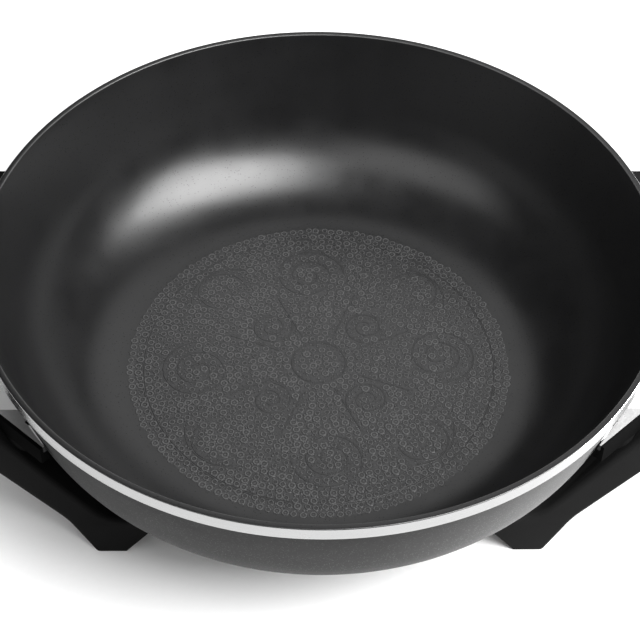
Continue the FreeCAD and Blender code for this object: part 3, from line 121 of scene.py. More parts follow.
class NodeSheet:
    """A node tree with short methods for adding nodes to it."""

    def __init__(self, tree: bpy.types.NodeTree) -> None:
        """Work on a tree.

        Args:
            tree: The tree that the nodes go into.
        """
        self.tree = tree

    def node(self, kind: str, inputs: dict[Any, Any], **settings: Any) -> bpy.types.Node:
        """Add a node.

        Args:
            kind: The node's type.
            inputs: Values or sockets, by the name or number of the input.
            settings: Properties of the node.

        Returns:
            The new node.
        """
        made = self.tree.nodes.new(kind)
        for key, value in settings.items():
            setattr(made, key, value)
        for key, value in inputs.items():
            if isinstance(value, Socket):
                self.tree.links.new(value, made.inputs[key])
            else:
                made.inputs[key].default_value = value
        return made

    def math(self, operation: str, first: Any, second: Any = 0.0) -> Socket:
        """Add a maths node and give its result."""
        return self.node("ShaderNodeMath", {0: first, 1: second}, operation=operation).outputs[0]


class ShaderTree(NodeSheet):
    """A material's node tree, with the nodes that the finishes share."""

    def __init__(self, name: str) -> None:
        """Start an empty material.

        Args:
            name: The material's name.
        """
        self.material = bpy.data.materials.new(name)
        self.material.use_nodes = True
        super().__init__(self.material.node_tree)
        self.tree.nodes.clear()
        output = self.tree.nodes.new("ShaderNodeOutputMaterial")
        self.surface = self.tree.nodes.new("ShaderNodeBsdfPrincipled")
        self.tree.links.new(self.surface.outputs["BSDF"], output.inputs["Surface"])
        self.coords = self.tree.nodes.new("ShaderNodeTexCoord").outputs["Object"]

    def spread(self, source: Any, low: float, high: float, start: float = 0.3,
               stop: float = 0.7) -> Socket:
        """Map a range of values, by default a texture's middle, onto low to high.

        Args:
            source: The value.
            low: Result at the start of the range.
            high: Result at the end of the range.
            start: Where the range begins.
            stop: Where the range ends.

        Returns:
            The mapped value.
        """
        return self.node("ShaderNodeMapRange", {
            "Value": source, "From Min": start, "From Max": stop, "To Min": low,
            "To Max": high}).outputs["Result"]

    def scaled(self, vector: Any, factors: tuple[float, float, float]) -> Socket:
        """Multiply a vector by three factors."""
        return self.node("ShaderNodeVectorMath", {0: vector, 1: factors}, operation="MULTIPLY").outputs[0]

    def height(self) -> Socket:
        """Height above the table."""
        return self.node("ShaderNodeSeparateXYZ", {0: self.coords}).outputs[2]

    def across(self) -> Socket:
        """Distance from the upright axis."""
        flat = self.scaled(self.coords, (1.0, 1.0, 0.0))
        return self.node("ShaderNodeVectorMath", {0: flat}, operation="LENGTH").outputs["Value"]

    def tinted(self, colour: Any, tint: Sequence[float], share: Any) -> Socket:
        """Mix a plain tint into a colour, or into a colour socket, by a share."""
        below = colour if isinstance(colour, Socket) else (*colour, 1.0)
        return self.node("ShaderNodeMix", {0: share, 6: below, 7: (*tint, 1.0)},
                         data_type="RGBA").outputs[2]

    def noise(self, vector: Any, detail: float = 2.0) -> Socket:
        """Add a noise texture over a vector that is already scaled."""
        return self.node("ShaderNodeTexNoise", {
            "Vector": vector, "Scale": 1.0, "Detail": detail, "Roughness": 0.5}).outputs[0]

    def grained(self, grain: Grain, size: float) -> Socket:
        """Coordinates in grains: even, in rings about the upright axis, or drawn along Y.

        Args:
            grain: How the relief runs.
            size: Size of one grain in millimetres.

        Returns:
            The scaled coordinates.
        """
        per_metre = 1.0 / (size * MM)
        if grain is Grain.EVEN:
            return self.scaled(self.coords, (per_metre, per_metre, per_metre))
        if grain is Grain.DRAWN:
            return self.scaled(self.coords, (per_metre, per_metre * DRAWN_STRETCH, per_metre))
        apart = self.node("ShaderNodeSeparateXYZ", {0: self.coords})
        angle = self.math("ARCTAN2", apart.outputs[1], apart.outputs[0])
        rings = self.node("ShaderNodeCombineXYZ", {
            0: self.math("MULTIPLY", self.across(), per_metre),
            1: self.math("MULTIPLY", apart.outputs[2], per_metre),
            2: self.math("MULTIPLY", self.math("ABSOLUTE", angle), TURNED_STRETCH)})
        return rings.outputs[0]

    def bump(self, height: Any, distance: float, below: Any = None) -> Socket:
        """Turn a height into a normal.

        Args:
            height: The height, from 0 to 1.
            distance: What 1 stands for, in millimetres.
            below: Normal of a coarser relief under this one, if any.

        Returns:
            The normal.
        """
        inputs = {"Height": height, "Distance": distance * MM, "Strength": 1.0}
        if below is not None:
            inputs["Normal"] = below
        return self.node("ShaderNodeBump", inputs).outputs["Normal"]

    def finish(self, **values: Any) -> bpy.types.Material:
        """Set or link the surface's inputs and give the material.

        Args:
            values: Values or sockets by input name, with _ for a space.

        Returns:
            The finished material.
        """
        for key, value in values.items():
            target = self.surface.inputs[key.replace("_", " ")]
            if isinstance(value, Socket):
                self.tree.links.new(value, target)
            else:
                target.default_value = value
        return self.material


def grey(value: float) -> tuple[float, float, float]:
    """A neutral colour."""
    return (value, value, value)


@dataclass(frozen=True)
class Finish:
    """A procedural surface: two scales of colour and gloss change, and a fine relief.

    Lengths are in millimetres.

    Attributes:
        name: The material's name.
        base: Base colour.
        roughness: Middle roughness.
        size: Size of one grain.
        relief: Height of the relief.
        patch: Size of the slow changes.
        metallic: 0 for a dielectric, 1 for bare metal.
        grain: How the relief runs.
        variation: Share by which the colour changes.
        gloss_change: How far the roughness changes.
        ior: Index of refraction.
    """

    name: str
    base: tuple[float, float, float]
    roughness: float
    size: float
    relief: float
    patch: float
    metallic: float = 0.0
    grain: Grain = Grain.EVEN
    variation: float = 0.18
    gloss_change: float = 0.06
    ior: float = 1.5

    def build(self) -> bpy.types.Material:
        """Make the material.

        Returns:
            The new material.
        """
        sheet = ShaderTree(self.name)
        fine = sheet.noise(sheet.grained(self.grain, self.size))
        slow = sheet.noise(sheet.grained(Grain.EVEN, self.patch), detail=4.0)
        both = sheet.math("ADD", sheet.math("MULTIPLY", fine, FINE_SHARE),
                          sheet.math("MULTIPLY", slow, 1.0 - FINE_SHARE))
        low = [part * (1.0 - self.variation) for part in self.base]
        high = [min(1.0, part * (1.0 + self.variation)) for part in self.base]
        return self.dress(sheet, fine, slow, sheet.tinted(low, high, sheet.spread(both, 0.0, 1.0)))

    def gloss(self, sheet: ShaderTree, slow: Any) -> Socket:
        """Roughness that changes slowly over the surface."""
        return sheet.spread(slow, self.roughness - self.gloss_change, self.roughness + self.gloss_change)

    def dress(self, sheet: ShaderTree, fine: Any, slow: Any, colour: Any) -> bpy.types.Material:
        """Connect colour, gloss and relief to the surface.

        Args:
            sheet: The material's tree.
            fine: Noise of the grain's size.
            slow: Noise of the patches' size.
            colour: The base colour with its changes.

        Returns:
            The finished material.
        """
        return sheet.finish(
            Base_Color=colour, Metallic=self.metallic, Roughness=self.gloss(sheet, slow), IOR=self.ior,
            Normal=sheet.bump(fine, self.relief))


@dataclass(frozen=True)
class FlakedFinish(Finish):
    """A finish with small metallic flakes in it, each turned its own way.

    Attributes:
        flake: Size of a flake.
        flake_share: Share of the surface that shows flakes.
        flake_base: Colour of a flake.
        flake_tilt: How far the flakes' relief stands.
        flake_core: Distance from a flake's middle up to which it is full, in flakes.
        flake_rim: Distance at which it has faded out.
        fade: How much lighter the colour gets at the bottom, a painted bounce light from the floor, and
            darker at the top, a painted shade.
        fade_low: Height where the painted bounce light is brightest.
        fade_high: Height where the painted shade is darkest.
    """

    flake: float = 0.5
    flake_share: float = 0.12
    flake_base: tuple[float, float, float] = grey(0.3)
    flake_tilt: float = 0.03
    flake_core: float = 0.2
    flake_rim: float = 0.5
    fade: float = 1.0
    fade_low: float = 45.0
    fade_high: float = 118.0

    def dress(self, sheet: ShaderTree, fine: Any, slow: Any, colour: Any) -> bpy.types.Material:
        """Scatter the flakes over the surface and give each its own tilt.

        Args:
            sheet: The material's tree.
            fine: Noise of the grain's size.
            slow: Noise of the patches' size.
            colour: The base colour with its changes.

        Returns:
            The finished material.
        """
        cells = sheet.node("ShaderNodeTexVoronoi", {
            "Vector": sheet.grained(Grain.EVEN, self.flake), "Scale": 1.0})
        chance = sheet.node("ShaderNodeSeparateXYZ", {0: cells.outputs["Color"]})
        shown = sheet.math("LESS_THAN", chance.outputs[0], self.flake_share)
        faded = sheet.spread(cells.outputs["Distance"], 1.0, 0.0, self.flake_core, self.flake_rim)
        core = sheet.math("MULTIPLY", shown, faded)
        mixed = sheet.tinted(colour, self.flake_base, core)
        # Painted light: the colour is scaled lighter towards the bottom for bounce light from the floor and
        # darker towards the top for shade.
        if self.fade > 1.0:
            strength = sheet.spread(sheet.height(), self.fade, 1.0 / self.fade, self.fade_low * MM,
                                    self.fade_high * MM)
            mixed = sheet.node("ShaderNodeVectorMath", {0: mixed, "Scale": strength},
                               operation="SCALE").outputs[0]
        normal = sheet.bump(fine, self.relief)
        tilted = sheet.bump(sheet.math("MULTIPLY", core, chance.outputs[1]), self.flake_tilt, normal)
        metal = sheet.math("MAXIMUM", core, self.metallic)
        return sheet.finish(
            Base_Color=mixed, Metallic=metal, Roughness=self.gloss(sheet, slow), IOR=self.ior, Normal=tilted)


@dataclass(frozen=True)
class RaisedFinish(Finish):
    """A coat whose colour is lighter where it stands highest.

    Attributes:
        level: Height at which the lighter colour starts.
        rise: Height over which it comes in.
        crest_base: Colour of the highest parts.
        flat: Distance from the axis at which the ground begins to curve up.
        bend: Radius of that curve.
        least_rubbed: Share of the lighter colour in the grain's hollows.
        most_rubbed: The same on the grain's tops.
    """

    level: float = 0.0
    rise: float = 0.1
    crest_base: tuple[float, float, float] = grey(0.05)
    flat: float = 102.3
    bend: float = 65.0
    least_rubbed: float = 0.15
    most_rubbed: float = 1.1

    def dress(self, sheet: ShaderTree, fine: Any, slow: Any, colour: Any) -> bpy.types.Material:
        """Mix in the lighter colour by height over the ground, broken up by the fine grain.

        Args:
            sheet: The material's tree.
            fine: Noise of the grain's size.
            slow: Noise of the patches' size.
            colour: The base colour with its changes.

        Returns:
            The finished material.
        """
        past = sheet.math("MAXIMUM", sheet.math("SUBTRACT", sheet.across(), self.flat * MM), 0.0)
        ground = sheet.math("DIVIDE", sheet.math("MULTIPLY", past, past), 2.0 * self.bend * MM)
        stands = sheet.math("SUBTRACT", sheet.height(), ground)
        high = sheet.spread(stands, 0.0, 1.0, self.level * MM, (self.level + self.rise) * MM)
        lightened = sheet.math("MULTIPLY", high, sheet.spread(fine, self.least_rubbed, self.most_rubbed))
        return super().dress(sheet, fine, slow, sheet.tinted(colour, self.crest_base, lightened))


@dataclass(frozen=True)
class ClearFinish(Finish):
    """A see-through plastic or glass.

    Attributes:
        clearness: Share of the light that passes.
    """

    clearness: float = 0.85

    def dress(self, sheet: ShaderTree, fine: Any, slow: Any, colour: Any) -> bpy.types.Material:
        """Let light through the tinted body."""
        gloss = sheet.spread(slow, self.roughness, self.roughness + self.gloss_change)
        return sheet.finish(
            Base_Color=colour, Roughness=gloss, IOR=self.ior, Transmission_Weight=self.clearness,
            Normal=sheet.bump(fine, self.relief))


# Each with its name, colour and roughness, then grain size, relief and patch size in millimetres.
NONSTICK = FlakedFinish(
    "nonstick_coat", (0.006, 0.006, 0.0063), 0.31, 0.7, 0.03, 25.0, gloss_change=0.03, ior=1.62,
    flake=0.7, flake_share=0.07, flake_base=grey(0.03), flake_tilt=0.02)
EMBOSSED_COAT = RaisedFinish(
    "embossed_coat", (0.006, 0.006, 0.0063), 0.31, 0.8, 0.04, 20.0, gloss_change=0.03, ior=1.62,
    level=35.07, rise=0.05, crest_base=(0.064, 0.064, 0.0645))
GRAINED_FLOOR = Finish(
    "grained_floor", (0.015, 0.015, 0.0155), 0.31, 1.1, 0.07, 2.6, variation=0.8, gloss_change=0.04,
    ior=1.62)
# A lighter grey along the lip's inner edge: a painted highlight on its rounding.
PAINTED_EDGE_HIGHLIGHT = Finish("painted_edge_highlight", grey(0.045), 0.36, 0.6, 0.02, 12.0, variation=0.35, ior=1.62)
MACHINED_BAND = Finish(
    "machined_band", grey(0.34), 0.26, 0.35, 0.004, 30.0, metallic=1.0, grain=Grain.TURNED,
    variation=0.06, gloss_change=0.03)
# The wall's fade is painted bounce light low down and painted shade high up.
METALLIC_WALL = FlakedFinish(
    "metallic_wall", grey(0.028), 0.57, 0.5, 0.03, 20.0, metallic=0.3, gloss_change=0.04, ior=1.1,
    flake=0.6, flake_share=0.16, flake_base=grey(0.085), fade=1.8)
TURNED_UNDERSIDE = Finish(
    "turned_underside", grey(0.5), 0.38, 0.5, 0.012, 18.0, metallic=1.0, grain=Grain.TURNED,
    variation=0.1)
CAST_LUG = Finish("cast_lug", grey(0.5), 0.55, 0.8, 0.03, 9.0, metallic=0.5, variation=0.08)
# Near-black finish for the trays under the ears: painted shade where the ears cast their shadow.
PAINTED_SEAT_SHADE = Finish("painted_seat_shade", grey(0.0035), 0.7, 0.8, 0.03, 10.0, ior=1.03)
MARKING = Finish("white_marking", (0.75, 0.75, 0.74), 0.5, 0.3, 0.005, 3.0, variation=0.05)
STUDIO_FLOOR = Finish("studio_floor", grey(0.94), 0.85, 3.0, 0.01, 400.0, variation=0.01)

REGION_FINISHES: dict[Region, Finish] = {
    Region.COAT: NONSTICK, Region.BAND: MACHINED_BAND, Region.WALL: METALLIC_WALL,
    Region.UNDERSIDE: TURNED_UNDERSIDE, Region.EDGE: PAINTED_EDGE_HIGHLIGHT, Region.FLOOR: GRAINED_FLOOR,
}
SLOT_FINISHES: dict[Slot, Finish] = {
    Slot.BOWL: NONSTICK,
    Slot.FRAME: Finish("moulded_black", grey(0.0065), 0.42, 0.9, 0.035, 22.0, ior=1.08),
    Slot.FOOT: Finish("foot_rubber_black", grey(0.02), 0.75, 0.5, 0.05, 6.0, variation=0.3),
    Slot.SCREW: Finish("zinc_screw", (0.62, 0.62, 0.6), 0.28, 0.3, 0.006, 2.0, metallic=1.0),
    Slot.SHEATH: Finish("heat_dark_sheath", (0.2, 0.195, 0.185), 0.46, 0.5, 0.012, 14.0, metallic=1.0,
                        variation=0.35, gloss_change=0.12),
    Slot.TERMINAL: Finish("nickel_pin", (0.68, 0.66, 0.62), 0.2, 0.25, 0.004, 5.0, metallic=1.0,
                          grain=Grain.DRAWN),
    Slot.CERAMIC: Finish("white_ceramic", (0.82, 0.8, 0.74), 0.32, 0.4, 0.02, 3.0, variation=0.06),
    Slot.GUARD: Finish("plated_guard", (0.5, 0.5, 0.49), 0.34, 0.4, 0.008, 9.0, metallic=1.0,
                       grain=Grain.DRAWN, variation=0.12),
    Slot.CONTROL: Finish("control_black", grey(0.011), 0.4, 0.7, 0.03, 14.0),
    Slot.PLATE: Finish("plated_sheet", (0.56, 0.56, 0.55), 0.3, 0.4, 0.008, 5.0, metallic=1.0),
    Slot.PROBE: Finish("bright_probe", (0.66, 0.66, 0.65), 0.18, 0.3, 0.003, 8.0, metallic=1.0,
                       grain=Grain.DRAWN),
    Slot.BRASS: Finish("bare_brass", (0.72, 0.56, 0.28), 0.26, 0.3, 0.006, 3.0, metallic=1.0),
    Slot.BIMETAL: Finish("bimetal_strip", (0.5, 0.42, 0.34), 0.34, 0.3, 0.005, 4.0, metallic=1.0,
                         grain=Grain.DRAWN),
    Slot.LENS: ClearFinish("red_lens", (0.65, 0.06, 0.03), 0.08, 0.4, 0.004, 2.0, ior=1.49),
    Slot.GLASS: ClearFinish("lamp_glass_clear", (0.95, 0.72, 0.5), 0.03, 0.5, 0.003, 2.0),
    Slot.GLAND: Finish("gland_rubber_black", grey(0.016), 0.62, 0.4, 0.03, 4.0),
    Slot.DIAL: Finish("dial_black", grey(0.013), 0.36, 0.5, 0.015, 8.0),
    Slot.SHAFT: Finish("natural_moulding", (0.62, 0.61, 0.57), 0.4, 0.4, 0.012, 4.0, variation=0.08),
}


class Palette:
    """Builds each finish once and hands out its material."""

    def __init__(self) -> None:
        """Start with no materials."""
        self.made: dict[str, bpy.types.Material] = {}

    def get(self, finish: Finish) -> bpy.types.Material:
        """Give the material of a finish, built on first use.

        Args:
            finish: The finish wanted.

        Returns:
            Its material.
        """
        if finish.name not in self.made:
            self.made[finish.name] = finish.build()
        return self.made[finish.name]

    def of_slot(self, slot: Slot) -> bpy.types.Material:
        """Give the material that repaints one of the record's slots."""
        return self.get(SLOT_FINISHES[slot])


# ------------------------------------------------------------------------------------- tools


def declare(piece: bpy.types.Object, slot: Slot, body: Body, *nodes: str) -> None:
    """Hang a piece on its moving body and hide the CAD nodes that it replaces.

    Args:
        piece: The visual piece.
        slot: Material slot of the record; not used.
        body: Moving body that carries it.
        nodes: CAD nodes that it replaces.
    """
    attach(piece, body.value)
    if nodes:
        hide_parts(*nodes)
    LOG.info("%s: %d faces", piece.name, len(piece.data.polygons))


def placed(name: str, data: bpy.types.ID) -> bpy.types.Object:
    """Put a new object in the scene.

    Args:
        name: Name of the object.
        data: Its mesh, text, light or camera.

    Returns:
        The object.
    """
    made = bpy.data.objects.new(name, data)
    bpy.context.scene.collection.objects.link(made)
    return made


def link_mesh(name: str, mesh: bpy.types.Mesh, materials: Sequence[bpy.types.Material],
              sharp: float = 32.0) -> bpy.types.Object:
    """Put a mesh in the scene, smooth except at its sharp edges.

    Args:
        name: Name of the piece.
        mesh: Its mesh, in the frame's place.
        materials: Its materials in slot order, unless the mesh has some.
        sharp: Angle in degrees above which an edge stays sharp.

    Returns:
        The new object.
    """
    if not mesh.materials:
        for material in materials:
            mesh.materials.append(material)
    mesh.shade_smooth()
    mesh.set_sharp_from_angle(angle=math.radians(sharp))
    return placed(name, mesh)


def plain_mesh(carrier: bpy.types.Object) -> bpy.types.Mesh:
    """Take the evaluated shape of an object as a mesh of its own.

    Args:
        carrier: The object.

    Returns:
        The mesh.
    """
    bpy.context.view_layer.update()
    seen = carrier.evaluated_get(bpy.context.evaluated_depsgraph_get())
    return bpy.data.meshes.new_from_object(seen)


def to_mesh(name: str, shape: bmesh.types.BMesh) -> bpy.types.Mesh:
    """Write a bmesh out as a mesh and free it.

    Args:
        name: Name of the mesh.
        shape: The bmesh.

    Returns:
        The mesh.
    """
    mesh = bpy.data.meshes.new(name)
    shape.to_mesh(mesh)
    shape.free()
    return mesh


def merged_copy(node: str) -> bmesh.types.BMesh:
    """Copy a CAD node's mesh and weld its loose triangles.

    Args:
        node: Name of the CAD node.

    Returns:
        The welded mesh.
    """
    shape = bmesh.new()
    shape.from_mesh(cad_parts[node].data)
    bmesh.ops.remove_doubles(shape, verts=shape.verts, dist=WELD)
    bmesh.ops.dissolve_degenerate(shape, edges=shape.edges, dist=WELD / 2.0)
    bmesh.ops.recalc_face_normals(shape, faces=shape.faces)
    return shape


def soften(shape: bmesh.types.BMesh, width: float, smallest: float) -> None:
    """Merge coplanar faces and bevel the sharp outer edges between the others.

    Args:
        shape: The mesh, changed in place.
        width: Width of the bevel in metres.
        smallest: Shortest edge that is bevelled, in metres.
    """
    bmesh.ops.dissolve_limit(shape, angle_limit=COPLANAR, verts=shape.verts, edges=shape.edges)
    chosen = []
    for edge in shape.edges:
        if len(edge.link_faces) != 2 or edge.calc_length() < smallest:
            continue
        if edge.calc_face_angle(0.0) > SHARP_EDGE and edge.is_convex:
            chosen.append(edge)
    bmesh.ops.bevel(shape, geom=chosen, offset=width, offset_type="OFFSET", segments=2,
                    profile=0.5, affect="EDGES", clamp_overlap=True)
    bmesh.ops.dissolve_degenerate(shape, dist=WELD, edges=shape.edges)


def in_profile(point: Vector) -> Vector:
    """A point's distance from the upright axis, and its height."""
    return Vector((math.hypot(point.x, point.y), point.z))


def distance_to(spot: Vector, first: Vector, second: Vector) -> float:
    """Measure the distance of a point from a stretch in a plane.

    Args:
        spot: The point.
        first: Where the stretch begins.
        second: Where it ends.

    Returns:
        The distance.
    """
    along = second - first
    length = along.length_squared
    share = 0.0 if length < NO_LENGTH else max(0.0, min(1.0, (spot - first).dot(along) / length))
    return (first + along * share - spot).length


@dataclass(frozen=True)
class Shown:
    """A CAD node that is shown by a welded, smooth copy with its small edges eased.

    Attributes:
        node: The CAD node.
        name: Name of the visual piece.
        slot: The record's material slot.
        eased: Width of the eased edges in metres, 0 for none.
        smallest: Shortest edge that is eased, in metres.
    """

    node: str
    name: str
    slot: Slot
    eased: float = 0.0
    smallest: float = 4.0 * MM

    def build(self, body: Body, palette: Palette) -> bpy.types.Object:
        """Make the copy.

        Args:
            body: Moving body that carries it.
            palette: Where the material comes from.

        Returns:
            The visual piece.
        """
        shape = merged_copy(self.node)
        if self.eased > 0.0:
            soften(shape, self.eased, self.smallest)
        piece = link_mesh(self.name, to_mesh(self.name, shape), [palette.of_slot(self.slot)])
        declare(piece, self.slot, body, self.node)
        return piece


def keep(node: str, slot: Slot, palette: Palette) -> None:
    """Leave a CAD node as it is and give it its procedural material.

    Args:
        node: The CAD node.
        slot: The record's material slot.
        palette: Where the material comes from.
    """
    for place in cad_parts[node].material_slots:
        place.material = palette.of_slot(slot)
    LOG.info("%s: kept, %s", node, slot.value)


# -------------------------------------------------------------------------------------- bowl


@dataclass(frozen=True)
class Corner:
    """A corner of a turned profile.

    Attributes:
        across: Distance from the axis.
        up: Height.
        radius: Rounding of the corner.
        steps: Pieces of the rounding.
        run: Pieces of the straight stretch that follows.
    """

    across: float
    up: float
    radius: float = 0.0
    steps: int = 1
    run: int = 1

    @property
    def point(self) -> Vector:
        """The corner's place in the profile's plane."""
        return Vector((self.across, self.up))


def rounded_path(corners: Sequence[Corner]) -> list[Vector]:
    """Walk an open profile and round its corners.

    Args:
        corners: Corners in order.

    Returns:
        The points of the profile.
    """
    points: list[Vector] = []
    for place, corner in enumerate(corners):
        arrived = [corner.point]
        if corner.radius > 0.0:
            back = (corners[place - 1].point - corner.point).normalized()
            ahead = (corners[place + 1].point - corner.point).normalized()
            half = back.angle(ahead) / 2.0
            reach = corner.radius / math.tan(half)
            centre = corner.point + (back + ahead).normalized() * (corner.radius / math.sin(half))
            start = corner.point + back * reach - centre
            turn = (corner.point + ahead * reach - centre).angle_signed(start)
            arrived = [centre + Matrix.Rotation(turn * step / corner.steps, 2) @ start
                       for step in range(corner.steps + 1)]
        if points and corners[place - 1].run > 1:
            before = points[-1].copy()
            pieces = corners[place - 1].run
            points.extend(before.lerp(arrived[0], part / pieces) for part in range(1, pieces))
        points.extend(arrived)
    return points


@dataclass(frozen=True)
class BowlSizes:
    """Sizes of the cast bowl in metres, the same as the solid's.

    Attributes:
        rim_radius: Outside radius of the rim.
        rim_height: Height of the rim.
        depth: Depth from the rim to the cooking floor.
        wall: Thickness of the wall.
        floor: Thickness of the floor.
        slope: Angle between the wall and the floor.
        corner: Inside rounding between floor and wall.
        band_height: Height of the machined band at the rim.
        band_step: How far the band stands out from the wall.
        lip: Rounding of the rim's edges.
        notch: Rounding of the band's lower edge.
        pattern_radius: Radius up to which the floor is embossed.
    """

    rim_radius: float = 0.180
    rim_height: float = 0.127
    depth: float = 0.092
    wall: float = 0.004
    floor: float = 0.005
    slope: float = math.radians(75.0)
    corner: float = 0.065
    band_height: float = 0.0074
    band_step: float = 0.001
    lip: float = 0.0007
    notch: float = 0.00018
    pattern_radius: float = 0.1073

    @property
    def floor_top(self) -> float:
        """Height of the cooking floor."""
        return self.rim_height - self.depth

    @property
    def floor_bottom(self) -> float:
        """Height of the flat underside."""
        return self.floor_top - self.floor

    @property
    def band_bottom(self) -> float:
        """Lower edge of the machined band."""
        return self.rim_height - self.band_height

    @property
    def wall_top(self) -> float:
        """Outside radius of the wall just below the band."""
        return self.rim_radius - self.band_step

    @property
    def inner_top(self) -> float:
        """Inside radius at the rim, before the edge is rounded."""
        return self.wall_radius(self.rim_height) - self.wall / math.sin(self.slope)

    @property
    def inner_base(self) -> float:
        """Where the straight inside wall, drawn on, would meet the floor."""
        return self.inner_top - self.depth / math.tan(self.slope)

    @property
    def flat_radius(self) -> float:
        """Radius at which the floor begins to curve up."""
        return self.inner_base - self.corner * math.tan(self.slope / 2.0)

    def floor_rise(self, radius: float) -> float:
        """How far the cooking surface has curved up at a radius near the floor's edge."""
        past = max(0.0, radius - self.flat_radius)
        return self.corner - math.sqrt(self.corner ** 2 - past ** 2)

    def wall_radius(self, height: float) -> float:
        """Outside radius of the straight wall at a height."""
        return self.wall_top - (self.band_bottom - height) / math.tan(self.slope)


@dataclass
class BowlShell:
    """The turned body of the bowl: coat inside, bare band, metallic wall, turned underside.

    Attributes:
        sizes: Sizes of the bowl.
        palette: Where the materials come from.
        around: Pieces round the axis.
        sharp: Angle in degrees above which an edge stays sharp.
        slack: How far a stretch may lie off the band or the underside and still count to it.
        floor_reach: How far the floor's grain climbs the curve round it.
        lip_share: Share of the lip's height that shows the painted edge highlight.
        edge_share: How far the painted edge highlight reaches onto the rim, in roundings of the lip.
        coat_share: Room between the rim's coat and the band, in roundings of the lip.
    """

    sizes: BowlSizes
    palette: Palette
    around: int = 288
    sharp: float = 24.0
    slack: float = 0.1 * MM
    floor_reach: float = 0.2 * MM
    lip_share: float = 0.9
    edge_share: float = 0.6
    coat_share: float = 0.25

    def profile(self) -> list[Vector]:
        """Draw the profile from the axis inside, over the rim and back to the axis below.

        Returns:
            Points of the open profile.
        """
        size = self.sizes
        outer_base = size.wall_radius(size.floor_bottom)
        return rounded_path([
            Corner(0.0, size.floor_top, run=10),
            Corner(size.inner_base, size.floor_top, size.corner, steps=22, run=8),
            Corner(size.inner_top, size.rim_height, size.lip, steps=6, run=2),
            Corner(size.rim_radius, size.rim_height, size.lip, steps=6, run=4),
            Corner(size.rim_radius, size.band_bottom, size.notch, steps=3),
            Corner(size.wall_top, size.band_bottom, run=8),
            Corner(outer_base, size.floor_bottom, size.corner + size.wall, steps=22, run=8),
            Corner(0.0, size.floor_bottom),
        ])

    def region(self, first: Vector, second: Vector) -> Region:
        """Which part of the skin a stretch of the profile belongs to.

        Args:
            first: Where the stretch begins.
            second: Where it ends.

        Returns:
            The part of the skin.
        """
        size = self.sizes
        middle = (first + second) / 2.0
        outside = second.y < first.y - NEARLY
        if size.floor_bottom + NEARLY < middle.y < size.floor_top + self.floor_reach and (
                middle.x < size.pattern_radius and not outside):
            return Region.FLOOR
        # The lip's inner rounding gets the painted edge highlight, the rest of the rim the coat.
        if middle.y > size.rim_height - size.lip * self.lip_share and (
                middle.x < size.rim_radius - size.lip * self.coat_share):
            return Region.EDGE if middle.x < size.inner_top + size.lip * self.edge_share else Region.COAT
        if middle.x > size.wall_top - self.slack and middle.y > size.band_bottom - self.slack:
            return Region.BAND
        if middle.y < size.floor_bottom + self.slack:
            return Region.UNDERSIDE
        return Region.WALL if outside else Region.COAT

    def build(self) -> bpy.types.Object:
        """Turn the profile about the axis.

        Returns:
            The bowl's shell.
        """
        points = self.profile()
        shape = bmesh.new()
        rings: list[list[bmesh.types.BMVert]] = []
        for point in points:
            turns = [math.tau * step / self.around for step in range(self.around)]
            if point.x < NEARLY:
                turns = turns[:1]
            rings.append([shape.verts.new((point.x * math.cos(turn), point.x * math.sin(turn), point.y))
                          for turn in turns])
        for place in range(len(points) - 1):
            part = self.region(points[place], points[place + 1])
            low, high = rings[place], rings[place + 1]
            for step in range(self.around):
                after = (step + 1) % self.around
                corners = [low[step % len(low)], high[step % len(high)],
                           high[after % len(high)], low[after % len(low)]]
                face = shape.faces.new(list(dict.fromkeys(corners)))
                face.material_index = part.value
        bmesh.ops.recalc_face_normals(shape, faces=shape.faces)
        if shape.calc_volume(signed=True) < 0.0:
            bmesh.ops.reverse_faces(shape, faces=shape.faces)
        materials = [self.palette.get(REGION_FINISHES[region]) for region in Region]
        piece = link_mesh("bowl_shell", to_mesh("bowl_shell", shape), materials, self.sharp)
        declare(piece, Slot.BOWL, Body.COOKER, "wok_bowl")
        return piece


